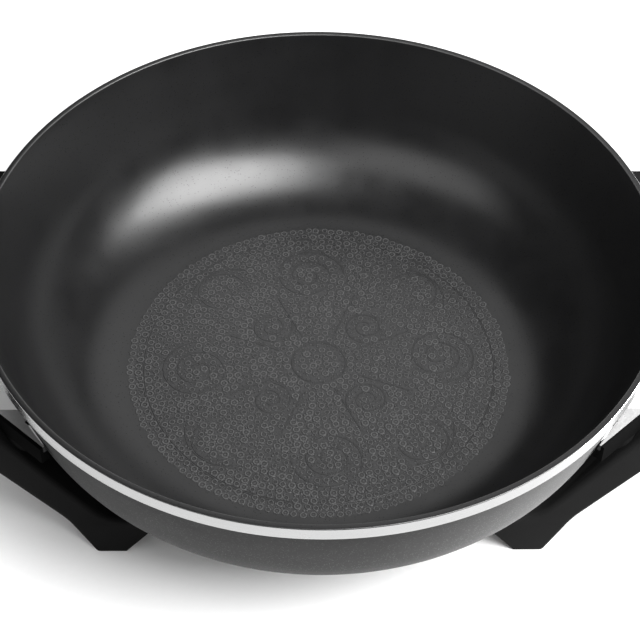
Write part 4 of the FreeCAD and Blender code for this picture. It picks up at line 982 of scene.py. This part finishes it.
@dataclass
class BowlCastings:
    """Ears, bosses and element rib: what the casting carries outside its turned body.

    Attributes:
        sizes: Sizes of the bowl.
        shell: The turned body, whose skin is left out here.
        palette: Where the materials come from.
        near: How near the turned skin a face's corners lie for it to be part of the skin.
        facing: How nearly it then has to face the skin's way, 1 being exactly.
        eased: Width of the eased edges.
        smallest: Shortest edge that is eased.
        rib_reach: Radius inside which the castings below the floor are bare.
        rib_top: How far above the flat underside they begin.
        upright: Upward part of the normal below which a face of an ear gets the wall's dark finish, a
            painted shade on its sides and underside.
    """

    sizes: BowlSizes
    shell: BowlShell
    palette: Palette
    near: float = 0.12 * MM
    facing: float = 0.9
    eased: float = 0.35 * MM
    smallest: float = 2.5 * MM
    rib_reach: float = 0.132
    rib_top: float = 0.001
    upright: float = 0.5

    def on_skin(self, face: bmesh.types.BMFace, skin: list[tuple[Vector, Vector]]) -> bool:
        """Whether a face of the solid lies in the turned skin.

        Args:
            face: The face.
            skin: Stretches of the profile.

        Returns:
            True for a face of the turned body.
        """
        for corner in face.verts:
            spot = in_profile(corner.co)
            if all(distance_to(spot, *stretch) > self.near for stretch in skin):
                return False
        middle = face.calc_center_median()
        spot = in_profile(middle)
        first, second = min(skin, key=lambda stretch: distance_to(spot, *stretch))
        along = (second - first).normalized()
        outward = Vector((middle.x, middle.y, 0.0))
        outward = outward.normalized() if outward.length > NEARLY else Vector((1.0, 0.0, 0.0))
        facing = Vector((face.normal.dot(outward), face.normal.z))
        return abs(facing.x * along.y - facing.y * along.x) > self.facing

    def build(self) -> bpy.types.Object:
        """Copy the solid's castings and ease their edges.

        Returns:
            The castings.
        """
        points = self.shell.profile()
        skin = list(zip(points, points[1:]))
        shape = merged_copy("wok_bowl")
        hidden = [face for face in shape.faces if self.on_skin(face, skin)]
        bmesh.ops.delete(shape, geom=hidden, context="FACES")
        soften(shape, self.eased, self.smallest)
        finishes = [CAST_LUG, TURNED_UNDERSIDE, METALLIC_WALL]
        # Below the floor the rib stays bare; elsewhere sides and undersides take the wall's dark finish, a
        # painted shade that keeps the ears' thickness from showing bright.
        for face in shape.faces:
            middle = in_profile(face.calc_center_median())
            if middle.x < self.rib_reach and middle.y < self.sizes.floor_bottom + self.rib_top:
                face.material_index = finishes.index(TURNED_UNDERSIDE)
            elif face.normal.z < self.upright:
                face.material_index = finishes.index(METALLIC_WALL)
        piece = link_mesh("bowl_castings", to_mesh("bowl_castings", shape),
                          [self.palette.get(finish) for finish in finishes])
        declare(piece, Slot.BOWL, Body.COOKER, "wok_bowl")
        return piece


# ----------------------------------------------------------------------------- floor pattern


class Draw(IntEnum):
    """Seeds of the floor pattern's random draws."""

    RING_PLACE = 5
    RING_SIZE = 7
    RING_TURN = 8
    BEAD_PLACE = 11
    BEAD_SIZE = 12


class GeometryTree(NodeSheet):
    """A geometry node group with named inputs."""

    def __init__(self, name: str) -> None:
        """Start a group that takes and gives geometry.

        Args:
            name: Name of the group.
        """
        super().__init__(bpy.data.node_groups.new(name, "GeometryNodeTree"))
        for side in ("INPUT", "OUTPUT"):
            self.tree.interface.new_socket("Geometry", in_out=side, socket_type="NodeSocketGeometry")
        self.start = self.tree.nodes.new("NodeGroupInput")
        self.end = self.tree.nodes.new("NodeGroupOutput")
        self.inputs: dict[str, str] = {}

    def input(self, name: str, kind: str = "NodeSocketFloat") -> Socket:
        """Add a named input to the group.

        Args:
            name: Name of the input.
            kind: Its socket type.

        Returns:
            The socket that gives its value.
        """
        made = self.tree.interface.new_socket(name, in_out="INPUT", socket_type=kind)
        self.inputs[name] = made.identifier
        return self.start.outputs[name]

    def index(self) -> Socket:
        """Number of each point."""
        return self.node("GeometryNodeInputIndex", {}).outputs[0]

    def vector(self, across: Any, along: Any, up: Any = 0.0) -> Socket:
        """Combine three values into a vector."""
        return self.node("ShaderNodeCombineXYZ", {0: across, 1: along, 2: up}).outputs[0]

    def polar(self, radius: Any, angle: Any) -> Socket:
        """The place at a radius and an angle round the axis."""
        return self.vector(self.math("MULTIPLY", radius, self.math("COSINE", angle)),
                           self.math("MULTIPLY", radius, self.math("SINE", angle)))

    def points(self, count: Any, places: Any) -> Socket:
        """A number of points at given places."""
        return self.node("GeometryNodePoints", {"Count": count, "Position": places}).outputs[0]

    def without(self, points: Any, chosen: Any) -> Socket:
        """Leave out the chosen points."""
        return self.node("GeometryNodeDeleteGeometry", {0: points, "Selection": chosen}).outputs[0]

    def random(self, limits: tuple[float, float], seed: Draw) -> Socket:
        """Draw a value between two limits for each point."""
        return self.node("FunctionNodeRandomValue", {
            2: limits[0], 3: limits[1], "Seed": seed.value}).outputs[1]

    def shaken(self, points: Any, reach: Any, seed: Draw) -> Socket:
        """Move points at random along X and Y.

        Args:
            points: The points.
            reach: How far they may move each way.
            seed: Seed of the draw.

        Returns:
            The moved points.
        """
        back = self.math("MULTIPLY", reach, -1.0)
        shift = self.node("FunctionNodeRandomValue", {
            0: self.vector(back, back), 1: self.vector(reach, reach), "Seed": seed.value},
            data_type="FLOAT_VECTOR").outputs[0]
        return self.node("GeometryNodeSetPosition", {0: points, "Offset": shift}).outputs[0]

    def distance(self, geometry: Any, kind: str) -> Socket:
        """Distance to the nearest part of a kind of some geometry."""
        return self.node("GeometryNodeProximity", {0: geometry}, target_element=kind).outputs["Distance"]

    def model(self, source: Any) -> Socket:
        """Geometry of an object."""
        return self.node("GeometryNodeObjectInfo", {"Object": source}).outputs["Geometry"]

    def copies(self, points: Any, motif: Any, **more: Any) -> Socket:
        """Put some geometry on every point."""
        return self.node("GeometryNodeInstanceOnPoints", {
            "Points": points, "Instance": motif, **more}).outputs[0]

    def realized(self, copies: Any) -> Socket:
        """Turn copies into real geometry."""
        return self.node("GeometryNodeRealizeInstances", {0: copies}).outputs[0]

    def circle(self, radius: Any, sides: int) -> Socket:
        """A circle about the axis."""
        return self.node("GeometryNodeCurvePrimitiveCircle", {
            "Resolution": sides, "Radius": radius}).outputs[0]

    def join(self, *parts: Socket) -> Socket:
        """Join several geometries.

        Args:
            parts: The geometries, in order.

        Returns:
            The joined geometry.
        """
        made = self.tree.nodes.new("GeometryNodeJoinGeometry")
        for part in parts:
            self.tree.links.new(part, made.inputs[0])
        return made.outputs[0]

    def close(self, geometry: Socket, material: bpy.types.Material) -> None:
        """Realize, set the material and lead the result out."""
        painted = self.node("GeometryNodeSetMaterial", {
            0: self.realized(geometry), "Material": material}).outputs[0]
        self.tree.links.new(painted, self.end.inputs[0])

    def apply(self, name: str, values: dict[str, Any]) -> bpy.types.Mesh:
        """Run the group on an empty mesh and take the result as a plain mesh.

        Args:
            name: Name of the resulting mesh.
            values: Values by input name.

        Returns:
            The evaluated mesh.
        """
        carrier = placed(name + "_carrier", bpy.data.meshes.new(name + "_carrier"))
        modifier = carrier.modifiers.new(name, "NODES")
        modifier.node_group = self.tree
        for key, value in values.items():
            modifier[self.inputs[key]] = value
        carrier.update_tag()
        mesh = plain_mesh(carrier)
        mesh.name = name
        carrier.modifiers.remove(modifier)
        bpy.data.objects.remove(carrier)
        return mesh


@dataclass(frozen=True)
class Motif:
    """A drawn line that is repeated round the floor.

    Attributes:
        radius: Distance of the copies from the axis.
        eighths: Direction of the first copy, in eighths of a turn.
    """

    radius: float
    eighths: float

    def draw(self, tree: GeometryTree) -> Socket:
        """Draw the line once, with +X outward."""
        raise NotImplementedError


@dataclass(frozen=True)
class Curl(Motif):
    """A spiral.

    Attributes:
        turns: How often it winds.
        far: Its outer radius.
        back: Whether it winds the other way.
        near: Its inner radius.
        pieces: Pieces of one turn.
    """

    turns: float
    far: float
    back: bool = False
    near: float = 3.0 * MM
    pieces: int = 22

    def draw(self, tree: GeometryTree) -> Socket:
        """Draw the spiral."""
        return tree.node("GeometryNodeCurveSpiral", {
            "Resolution": self.pieces, "Rotations": self.turns, "Start Radius": self.near,
            "End Radius": self.far, "Height": 0.0, "Reverse": self.back}).outputs[0]


@dataclass(frozen=True)
class Arch(Motif):
    """Part of a circle that bulges outward.

    Attributes:
        bend: Radius of the circle.
        sweep: Angle of the part, in radians.
        pieces: Pieces of the part.
    """

    bend: float
    sweep: float
    pieces: int = 30

    def draw(self, tree: GeometryTree) -> Socket:
        """Draw the arch, half of its sweep to each side."""
        return tree.node("GeometryNodeCurveArc", {
            "Resolution": self.pieces, "Radius": self.bend, "Start Angle": -self.sweep / 2.0,
            "Sweep Angle": self.sweep}).outputs[0]


@dataclass(frozen=True)
class Spoke(Motif):
    """A straight line outward.

    Attributes:
        length: Its length.
        pieces: Points on it.
    """

    length: float
    pieces: int = 8

    def draw(self, tree: GeometryTree) -> Socket:
        """Draw the line."""
        line = tree.node("GeometryNodeCurvePrimitiveLine", {
            "Start": (0.0, 0.0, 0.0), "End": (self.length, 0.0, 0.0)}).outputs[0]
        return tree.node("GeometryNodeResampleCurve", {"Curve": line, "Count": self.pieces}).outputs[0]


@dataclass
class FloorPattern:
    """The embossed cooking floor: rows of small dimpled rings round a drawn ornament.

    Attributes:
        sizes: Sizes of the bowl.
        palette: Where the material comes from.
        pitch: Distance between the rings, and between their rows.
        rows: Rows outside the middle one.
        skew: Turn of each row against the one inside it, in radians.
        ring_sides: Corners round a ring.
        ring_section: Radius and height of a ring's rows of corners, from outside in.
        ring_sizes: Smallest and largest scale of a ring.
        bead_sides: Corners round a bead.
        bead_section: Radius and height of a bead's rows of corners, from outside in.
        bead_sizes: Smallest and largest scale of a bead.
        jitter: How far a ring or bead may lie from its exact place.
        clear: Room between an ornament line and the nearest ring's centre.
        bead_clear: The same for a bead.
        gap: Room between a ring's centre and the nearest bead.
        circles: Radii of the ornament's circles.
        circle_sides: Pieces of such a circle.
        motifs: The ornament's other lines.
        repeats: Copies of each of them.
        ridge: Half the width of an ornament line.
        ridge_sides: Sides of its section.
        flatness: Height of a line's section as a share of its width.
        sharp: Angle in degrees above which an edge stays sharp.
    """

    sizes: BowlSizes
    palette: Palette
    pitch: float = 4.56 * MM
    rows: int = 23
    skew: float = 0.7
    ring_sides: int = 9
    ring_section: tuple[tuple[float, float], ...] = (
        (2.36 * MM, -0.03 * MM), (1.95 * MM, 0.16 * MM), (1.5 * MM, 0.144 * MM), (1.0 * MM, 0.03 * MM),
        (0.45 * MM, 0.096 * MM))
    ring_sizes: tuple[float, float] = (0.78, 1.12)
    bead_sides: int = 6
    bead_section: tuple[tuple[float, float], ...] = ((0.8 * MM, -0.02 * MM), (0.4 * MM, 0.144 * MM))
    bead_sizes: tuple[float, float] = (0.7, 1.3)
    jitter: float = 0.6 * MM
    clear: float = 1.65 * MM
    bead_clear: float = 0.7 * MM
    gap: float = 2.3 * MM
    circles: tuple[float, ...] = (98.6 * MM, 97.5 * MM, 15.0 * MM)
    circle_sides: int = 120
    motifs: tuple[Motif, ...] = (
        Curl(68.0 * MM, 0.1, turns=2.25, far=21.0 * MM),
        Curl(38.0 * MM, 1.0, turns=1.75, far=13.0 * MM, back=True),
        Arch(78.0 * MM, 1.0, bend=14.0 * MM, sweep=math.radians(230.0)),
        Arch(69.0 * MM, 1.0, bend=24.0 * MM, sweep=math.radians(120.0)),
        Spoke(20.0 * MM, 0.55, length=34.0 * MM),
        Spoke(24.0 * MM, 1.5, length=30.0 * MM))
    repeats: int = 4
    ridge: float = 0.42 * MM
    ridge_sides: int = 6
    flatness: float = 0.24
    sharp: float = 75.0

    @staticmethod
    def turned(name: str, sides: int, section: Sequence[tuple[float, float]]) -> bpy.types.Object:
        """Turn a section about the upright axis and close both ends.

        Args:
            name: Name of the object.
            sides: Corners in a row.
            section: Radius and height of each row of corners, from outside in.

        Returns:
            The turned object.
        """
        shape = bmesh.new()
        rows = [[shape.verts.new((across * math.cos(math.tau * step / sides),
                                  across * math.sin(math.tau * step / sides), up))
                 for step in range(sides)] for across, up in section]
        for low, high in zip(rows, rows[1:]):
            for step in range(sides):
                after = (step + 1) % sides
                shape.faces.new([low[step], low[after], high[after], high[step]])
        shape.faces.new(rows[-1])
        shape.faces.new(list(reversed(rows[0])))
        return placed(name, to_mesh(name, shape))

    @staticmethod
    def points_within(tree: GeometryTree, row: Any) -> Socket:
        """How many points lie in a row and inside it: 3 r (r + 1) + 1."""
        pairs = tree.math("MULTIPLY", row, tree.math("ADD", row, 1.0))
        return tree.math("ADD", tree.math("MULTIPLY", pairs, 3.0), 1.0)

    def row_points(self, tree: GeometryTree, pitch: Any, rows: Any) -> Socket:
        """Points in concentric rows, 6 r of them in row r.

        Args:
            tree: The node group.
            pitch: Distance between rows.
            rows: Rows outside the middle point.

        Returns:
            The points.
        """
        index = tree.index()
        inside = tree.math("SUBTRACT", tree.math("MULTIPLY", index, 12.0), 3.0)
        root = tree.math("SQRT", tree.math("MAXIMUM", inside, 0.0))
        row = tree.math("FLOOR", tree.math("DIVIDE", tree.math("ADD", root, 3.0), 6.0))
        before = self.points_within(tree, tree.math("SUBTRACT", row, 1.0))
        place = tree.math("MULTIPLY", tree.math("SUBTRACT", index, before), math.tau)
        turn = tree.math("DIVIDE", place, tree.math("MULTIPLY", row, 6.0))
        angle = tree.math("ADD", turn, tree.math("MULTIPLY", row, self.skew))
        return tree.points(self.points_within(tree, rows),
                           tree.polar(tree.math("MULTIPLY", row, pitch), angle))

    def spun(self, tree: GeometryTree, motif: Motif) -> Socket:
        """Repeat a motif round the floor, each copy turned to face outward.

        Args:
            tree: The node group.
            motif: The motif.

        Returns:
            The copies as real curves.
        """
        turn = tree.math("MULTIPLY", tree.index(), math.tau / self.repeats)
        angle = tree.math("ADD", turn, math.tau / 8.0 * motif.eighths)
        points = tree.points(self.repeats, tree.polar(motif.radius, angle))
        return tree.realized(tree.copies(points, motif.draw(tree), Rotation=tree.vector(0.0, 0.0, angle)))

    def build(self) -> bpy.types.Object:
        """Lay the rings, the beads between them and the ornament on the floor.

        Returns:
            The floor pattern.
        """
        tree = GeometryTree("floor_pattern")
        pitch, clear, ridge, jitter, gap = map(tree.input, ("Pitch", "Clear", "Ridge", "Jitter", "Gap"))
        rows = tree.input("Rows", "NodeSocketInt")
        ring = tree.input("Ring", "NodeSocketObject")
        bead = tree.input("Bead", "NodeSocketObject")
        lines = tree.join(*(tree.circle(radius, self.circle_sides) for radius in self.circles),
                          *(self.spun(tree, motif) for motif in self.motifs))
        near = tree.distance(tree.node("GeometryNodeCurveToMesh", {0: lines}).outputs[0], "EDGES")
        places = tree.without(self.row_points(tree, pitch, rows), tree.math("LESS_THAN", near, clear))
        places = tree.shaken(places, jitter, Draw.RING_PLACE)
        turn = tree.random((0.0, math.tau), Draw.RING_TURN)
        rings = tree.copies(places, tree.model(ring), Scale=tree.random(self.ring_sizes, Draw.RING_SIZE),
                            Rotation=tree.vector(0.0, 0.0, turn))
        between = self.row_points(tree, tree.math("MULTIPLY", pitch, 0.5), tree.math("MULTIPLY", rows, 2.0))
        between = tree.shaken(between, jitter, Draw.BEAD_PLACE)
        taken = tree.math("LESS_THAN", tree.distance(places, "POINTS"), gap)
        between = tree.without(between, tree.math(
            "MAXIMUM", taken, tree.math("LESS_THAN", near, self.bead_clear)))
        beads = tree.copies(between, tree.model(bead), Scale=tree.random(self.bead_sizes, Draw.BEAD_SIZE))
        tubes = tree.node("GeometryNodeCurveToMesh", {
            0: lines, "Profile Curve": tree.circle(ridge, self.ridge_sides), "Fill Caps": True}).outputs[0]
        flat = tree.node("GeometryNodeTransform", {
            "Geometry": tubes, "Scale": (1.0, 1.0, self.flatness)}).outputs[0]
        material = self.palette.get(EMBOSSED_COAT)
        tree.close(tree.join(rings, beads, flat), material)
        seeds = {"Ring": self.turned("ring_seed", self.ring_sides, self.ring_section),
                 "Bead": self.turned("bead_seed", self.bead_sides, self.bead_section)}
        mesh = tree.apply("floor_pattern", {
            "Pitch": self.pitch, "Rows": self.rows, "Clear": self.clear, "Ridge": self.ridge,
            "Jitter": self.jitter, "Gap": self.gap, **seeds})
        for seed in seeds.values():
            bpy.data.objects.remove(seed)
        mesh.transform(Matrix.Translation((0.0, 0.0, self.sizes.floor_top)))
        for corner in mesh.vertices:
            corner.co.z += self.sizes.floor_rise(math.hypot(corner.co.x, corner.co.y))
        piece = link_mesh("floor_pattern", mesh, [material], self.sharp)
        declare(piece, Slot.BOWL, Body.COOKER)
        return piece


# ----------------------------------------------------------------------------- other pieces


@dataclass
class Unit:
    """A sub-assembly whose pieces are mostly refined copies of CAD nodes.

    Attributes:
        palette: Where the materials come from.
    """

    palette: Palette

    def show(self, body: Body, *pieces: Shown) -> list[bpy.types.Object]:
        """Build some pieces of one moving body."""
        return [piece.build(body, self.palette) for piece in pieces]


@dataclass
class SideFrames(Unit):
    """The two moulded side frames with their rubber feet and screws.

    Attributes:
        eased: Width of the frames' eased edges.
        smallest: Shortest of them.
        foot_eased: Width of the feet's eased edges.
        foot_smallest: Shortest of them.
        seat_low: Height just below the trays' floor.
        seat_high: Height just above the trays' rim.
        seat_reach: Where the trays end along X.
    """

    eased: float = 0.3 * MM
    smallest: float = 5.0 * MM
    foot_eased: float = 0.25 * MM
    foot_smallest: float = 2.0 * MM
    seat_low: float = 83.9 * MM
    seat_high: float = 95.1 * MM
    seat_reach: float = 192.0 * MM

    def darken_seats(self, mesh: bpy.types.Mesh) -> None:
        """Paint the trays that hold the ears near black, a painted shade for the shadow under the ears.

        Args:
            mesh: Mesh of a side frame.
        """
        mesh.materials.append(self.palette.get(PAINTED_SEAT_SHADE))
        for face in mesh.polygons:
            # Faces of the trays take the painted shade.
            if self.seat_low < face.center.z < self.seat_high and abs(face.center.x) < self.seat_reach:
                face.material_index = 1

    def build(self) -> list[bpy.types.Object]:
        """Show both frames, their four feet and the screws.

        Returns:
            The visual pieces.
        """
        made = []
        for side in ("right", "left"):
            frame_and_feet = self.show(
                Body.COOKER,
                Shown(f"handle_frame_{side}", f"side_frame_{side}", Slot.FRAME, self.eased, self.smallest),
                *(Shown(f"foot_pad_{end}_{side}", f"rubber_foot_{end}_{side}", Slot.FOOT, self.foot_eased,
                        self.foot_smallest) for end in ("front", "rear")))
            self.darken_seats(frame_and_feet[0].data)
            made += frame_and_feet
        return made + self.show(Body.COOKER, *(Shown(screws, f"{screws}_shown", Slot.SCREW)
                                               for screws in ("ear_screws", "leg_screws", "guard_screws")))


@dataclass
class HeatingUnit(Unit):
    """The tubular element under the floor, its terminals and the guard round them.

    Attributes:
        eased: Width of the guard's eased edges.
    """

    eased: float = 0.2 * MM

    def build(self) -> list[bpy.types.Object]:
        """Show the element, pins, beads and guard."""
        return self.show(
            Body.COOKER,
            Shown("heating_element", "element_tube", Slot.SHEATH),
            Shown("terminal_pins", "terminal_pins_shown", Slot.TERMINAL),
            Shown("terminal_beads", "ceramic_beads", Slot.CERAMIC),
            Shown("probe_guard", "guard_shroud", Slot.GUARD, self.eased))


@dataclass
class ControlUnit(Unit):
    """The plug-in control: housing, probe, contacts, switch work, lamp, gland and screws.

    Attributes:
        eased: Width of the housing's eased edges.
    """

    eased: float = 0.2 * MM

    def build(self) -> list[bpy.types.Object]:
        """Show the control's pieces.

        Returns:
            The visual pieces.
        """
        inside = {
            "thermostat_frame": Slot.PLATE, "bimetal_strip": Slot.BIMETAL, "leaf_insulators": Slot.CERAMIC,
            "switch_leaves": Slot.BRASS, "push_pin": Slot.CERAMIC, "pilot_lamp": Slot.GLASS,
        }
        for node, slot in inside.items():
            keep(node, slot, self.palette)
        return self.show(
            Body.CONTROL,
            Shown("housing_upper", "control_cover", Slot.CONTROL, self.eased),
            Shown("housing_lower", "control_base", Slot.CONTROL, self.eased),
            Shown("probe_rod", "probe_shown", Slot.PROBE),
            Shown("face_plate", "face_plate_shown", Slot.PLATE),
            Shown("contact_sleeves", "contact_sleeves_shown", Slot.BRASS),
            Shown("pilot_lens", "pilot_lens_shown", Slot.LENS),
            Shown("cord_gland", "cord_gland_shown", Slot.GLAND),
            Shown("housing_screws", "housing_screws_shown", Slot.SCREW))


@dataclass
class DialUnit(Unit):
    """The dial with its shaft, and the printed scale on it.

    Attributes:
        middle: Height of the dial's axis.
        face: Where the skirt's face lies along Y.
        ring: Radius of the numbers' middle.
        steps: How many numbers there are.
        sweep: Turn from the first number to the last, in radians.
        letter: Size of a number.
        print_depth: Half the thickness of the print.
        eased: Width of the dial's eased edges.
        smallest: Shortest of them.
    """

    middle: float = 0.0205
    face: float = 0.1719
    ring: float = 0.01455
    steps: int = 7
    sweep: float = math.radians(270.0)
    letter: float = 2.7 * MM
    print_depth: float = 0.03 * MM
    eased: float = 0.15 * MM
    smallest: float = 2.0 * MM

    def number(self, step: int) -> bpy.types.Mesh:
        """Print one number of the scale, in its place on the dial.

        Args:
            step: The number.

        Returns:
            Its mesh.
        """
        curve = bpy.data.curves.new(f"number_{step}", "FONT")
        curve.body = str(step)
        curve.size = self.letter
        curve.align_x = "CENTER"
        curve.align_y = "CENTER"
        curve.extrude = self.print_depth
        curve.resolution_u = 3
        carrier = placed(f"number_{step}", curve)
        mesh = plain_mesh(carrier)
        bpy.data.objects.remove(carrier)
        outward = Matrix.Rotation(math.radians(180.0), 4, "Z") @ Matrix.Rotation(math.radians(-90.0), 4, "X")
        for move in (Matrix.Translation((0.0, self.ring, 0.0)),
                     Matrix.Rotation(-self.sweep * step / (self.steps - 1), 4, "Z"), outward,
                     Matrix.Translation((0.0, self.face, self.middle))):
            mesh.transform(move)
        return mesh

    def scale(self) -> bpy.types.Object:
        """Print the scale on the dial's skirt.

        Returns:
            The numbers as one thin piece.
        """
        shape = bmesh.new()
        for step in range(self.steps):
            mesh = self.number(step)
            shape.from_mesh(mesh)
            bpy.data.meshes.remove(mesh)
        bmesh.ops.remove_doubles(shape, verts=shape.verts, dist=WELD / 2.0)
        piece = link_mesh("dial_scale", to_mesh("dial_scale", shape), [self.palette.get(MARKING)])
        declare(piece, Slot.DIAL, Body.DIAL)
        return piece

    def build(self) -> list[bpy.types.Object]:
        """Show the dial, its shaft and its scale."""
        return self.show(
            Body.DIAL,
            Shown("control_dial", "control_dial_shown", Slot.DIAL, self.eased, self.smallest),
            Shown("dial_shaft", "dial_shaft_shown", Slot.SHAFT)) + [self.scale()]


# ------------------------------------------------------------------------------------ studio


def facing(right: Vector, back: Vector) -> Matrix:
    """The turn of a light or camera whose right side and back point these ways."""
    return Matrix((right, back.cross(right), back)).transposed().to_4x4()


@dataclass(frozen=True)
class Softbox:
    """A soft light that faces the bowl.

    Attributes:
        name: The light's name.
        toward: Direction from the bowl to the light.
        across: Direction of the light's long side.
        distance: How far away it stands, in metres.
        width: Long side in metres.
        height: Short side in metres.
        level: Brightness of its face, 1 being plain white.
        only: Names of the pieces that it lights, all if empty.
    """

    name: str
    toward: tuple[float, float, float]
    across: tuple[float, float, float]
    distance: float
    width: float
    height: float
    level: float
    only: tuple[str, ...] = ()

    def build(self, target: Vector) -> bpy.types.Object:
        """Set up the light.

        Args:
            target: The point that it faces.

        Returns:
            The light's object.
        """
        data = bpy.data.lights.new(self.name, "AREA")
        data.shape = "RECTANGLE"
        data.size = self.width
        data.size_y = self.height
        data.energy = self.level * math.pi * self.width * self.height
        back = Vector(self.toward).normalized()
        across = Vector(self.across)
        right = (across - back * across.dot(back)).normalized()
        lamp = placed(self.name, data)
        lamp.matrix_world = Matrix.Translation(target + back * self.distance) @ facing(right, back)
        if self.only:
            receivers = bpy.data.collections.new(self.name + "_receivers")
            for name in self.only:
                receivers.objects.link(bpy.data.objects[name])
            lamp.light_linking.receiver_collection = receivers
        return lamp


@dataclass
class Studio:
    """Floor, lights and camera.

    Attributes:
        palette: Where the floor's material comes from.
        ambient: Brightness of the surroundings.
        reach: Half the floor's side in metres.
        target: Point that the lights face.
        focal: Focal length in pixels of a 640-pixel frame.
        yaw: Turn of the camera about the upright axis, in degrees.
        stand: Where the camera stands before that turn.
        ahead: Where it looks.
        right: Which way its frame's right side points.
    """

    palette: Palette
    ambient: float = 0.6
    reach: float = 6.0
    target: tuple[float, float, float] = (0.0, 0.0, 0.06)
    focal: float = 1700.0
    yaw: float = -1.4
    stand: tuple[float, float, float] = (0.00027, -0.62656, 0.75317)
    ahead: tuple[float, float, float] = (0.0, 0.67607, -0.73684)
    right: tuple[float, float, float] = (0.99986582, 0.01207046, 0.01107489)

    def lights(self) -> list[Softbox]:
        """The studio's lights."""
        return [
            Softbox("key", toward=(0.485, -0.34, 0.76), across=(0.84, 0.14, -0.32), distance=1.5,
                    width=1.32, height=0.92, level=13.6),
            Softbox("fill", toward=(-0.50, -0.52, 0.66), across=(0.7, -0.4, 0.1), distance=1.5,
                    width=1.4, height=0.8, level=1.65, only=("bowl_shell", "floor_pattern")),
            Softbox("top", toward=(0.1, 0.66, 0.75), across=(1.0, 0.0, 0.0), distance=1.8,
                    width=1.1, height=1.0, level=1.04),
            Softbox("low", toward=(1.0, 0.16, 0.0), across=(0.0, 1.0, 0.0), distance=0.62,
                    width=0.5, height=0.13, level=520.0, only=("bowl_shell",)),
            Softbox("rake", toward=(0.485, -0.34, 0.76), across=(0.84, 0.14, -0.32), distance=1.5,
                    width=0.3, height=0.2, level=300.0, only=("side_frame_right",)),
        ]

    def camera(self) -> bpy.types.Object:
        """Set the camera.

        Returns:
            The camera's object.
        """
        data = bpy.data.cameras.new("view")
        data.sensor_width = SENSOR_WIDTH
        data.lens = self.focal * SENSOR_WIDTH / PICTURE_WIDTH
        data.clip_start = 0.05
        data.clip_end = 30.0
        right = Vector(self.right)
        ahead = Vector(self.ahead)
        back = -(ahead - right * ahead.dot(right)).normalized()
        turn = Matrix.Rotation(math.radians(self.yaw), 4, "Z")
        view = placed("view", data)
        view.matrix_world = turn @ Matrix.Translation(self.stand) @ facing(right, back)
        bpy.context.scene.camera = view
        return view

    def build(self) -> None:
        """Set up the whole studio."""
        shape = bmesh.new()
        bmesh.ops.create_grid(shape, x_segments=8, y_segments=8, size=self.reach)
        ground = link_mesh("studio_floor", to_mesh("studio_floor", shape), [self.palette.get(STUDIO_FLOOR)])
        for light in self.lights():
            light.build(Vector(self.target))
        bpy.context.scene.view_settings.view_transform = "Standard"
        world = bpy.context.scene.world or bpy.data.worlds.new("surroundings")
        bpy.context.scene.world = world
        world.use_nodes = True
        backdrop = world.node_tree.nodes["Background"]
        backdrop.inputs["Color"].default_value = (1.0, 1.0, 1.0, 1.0)
        backdrop.inputs["Strength"].default_value = self.ambient
        world.cycles_visibility.glossy = False
        self.camera()


def main() -> None:
    """Build every assembly in order, then the studio."""
    logging.basicConfig(level=logging.INFO, format="%(message)s")
    palette = Palette()
    sizes = BowlSizes()
    shell = BowlShell(sizes, palette)
    shell.build()
    BowlCastings(sizes, shell, palette).build()
    FloorPattern(sizes, palette).build()
    SideFrames(palette).build()
    HeatingUnit(palette).build()
    ControlUnit(palette).build()
    DialUnit(palette).build()
    Studio(palette).build()


if __name__ == "__main__":
    main()
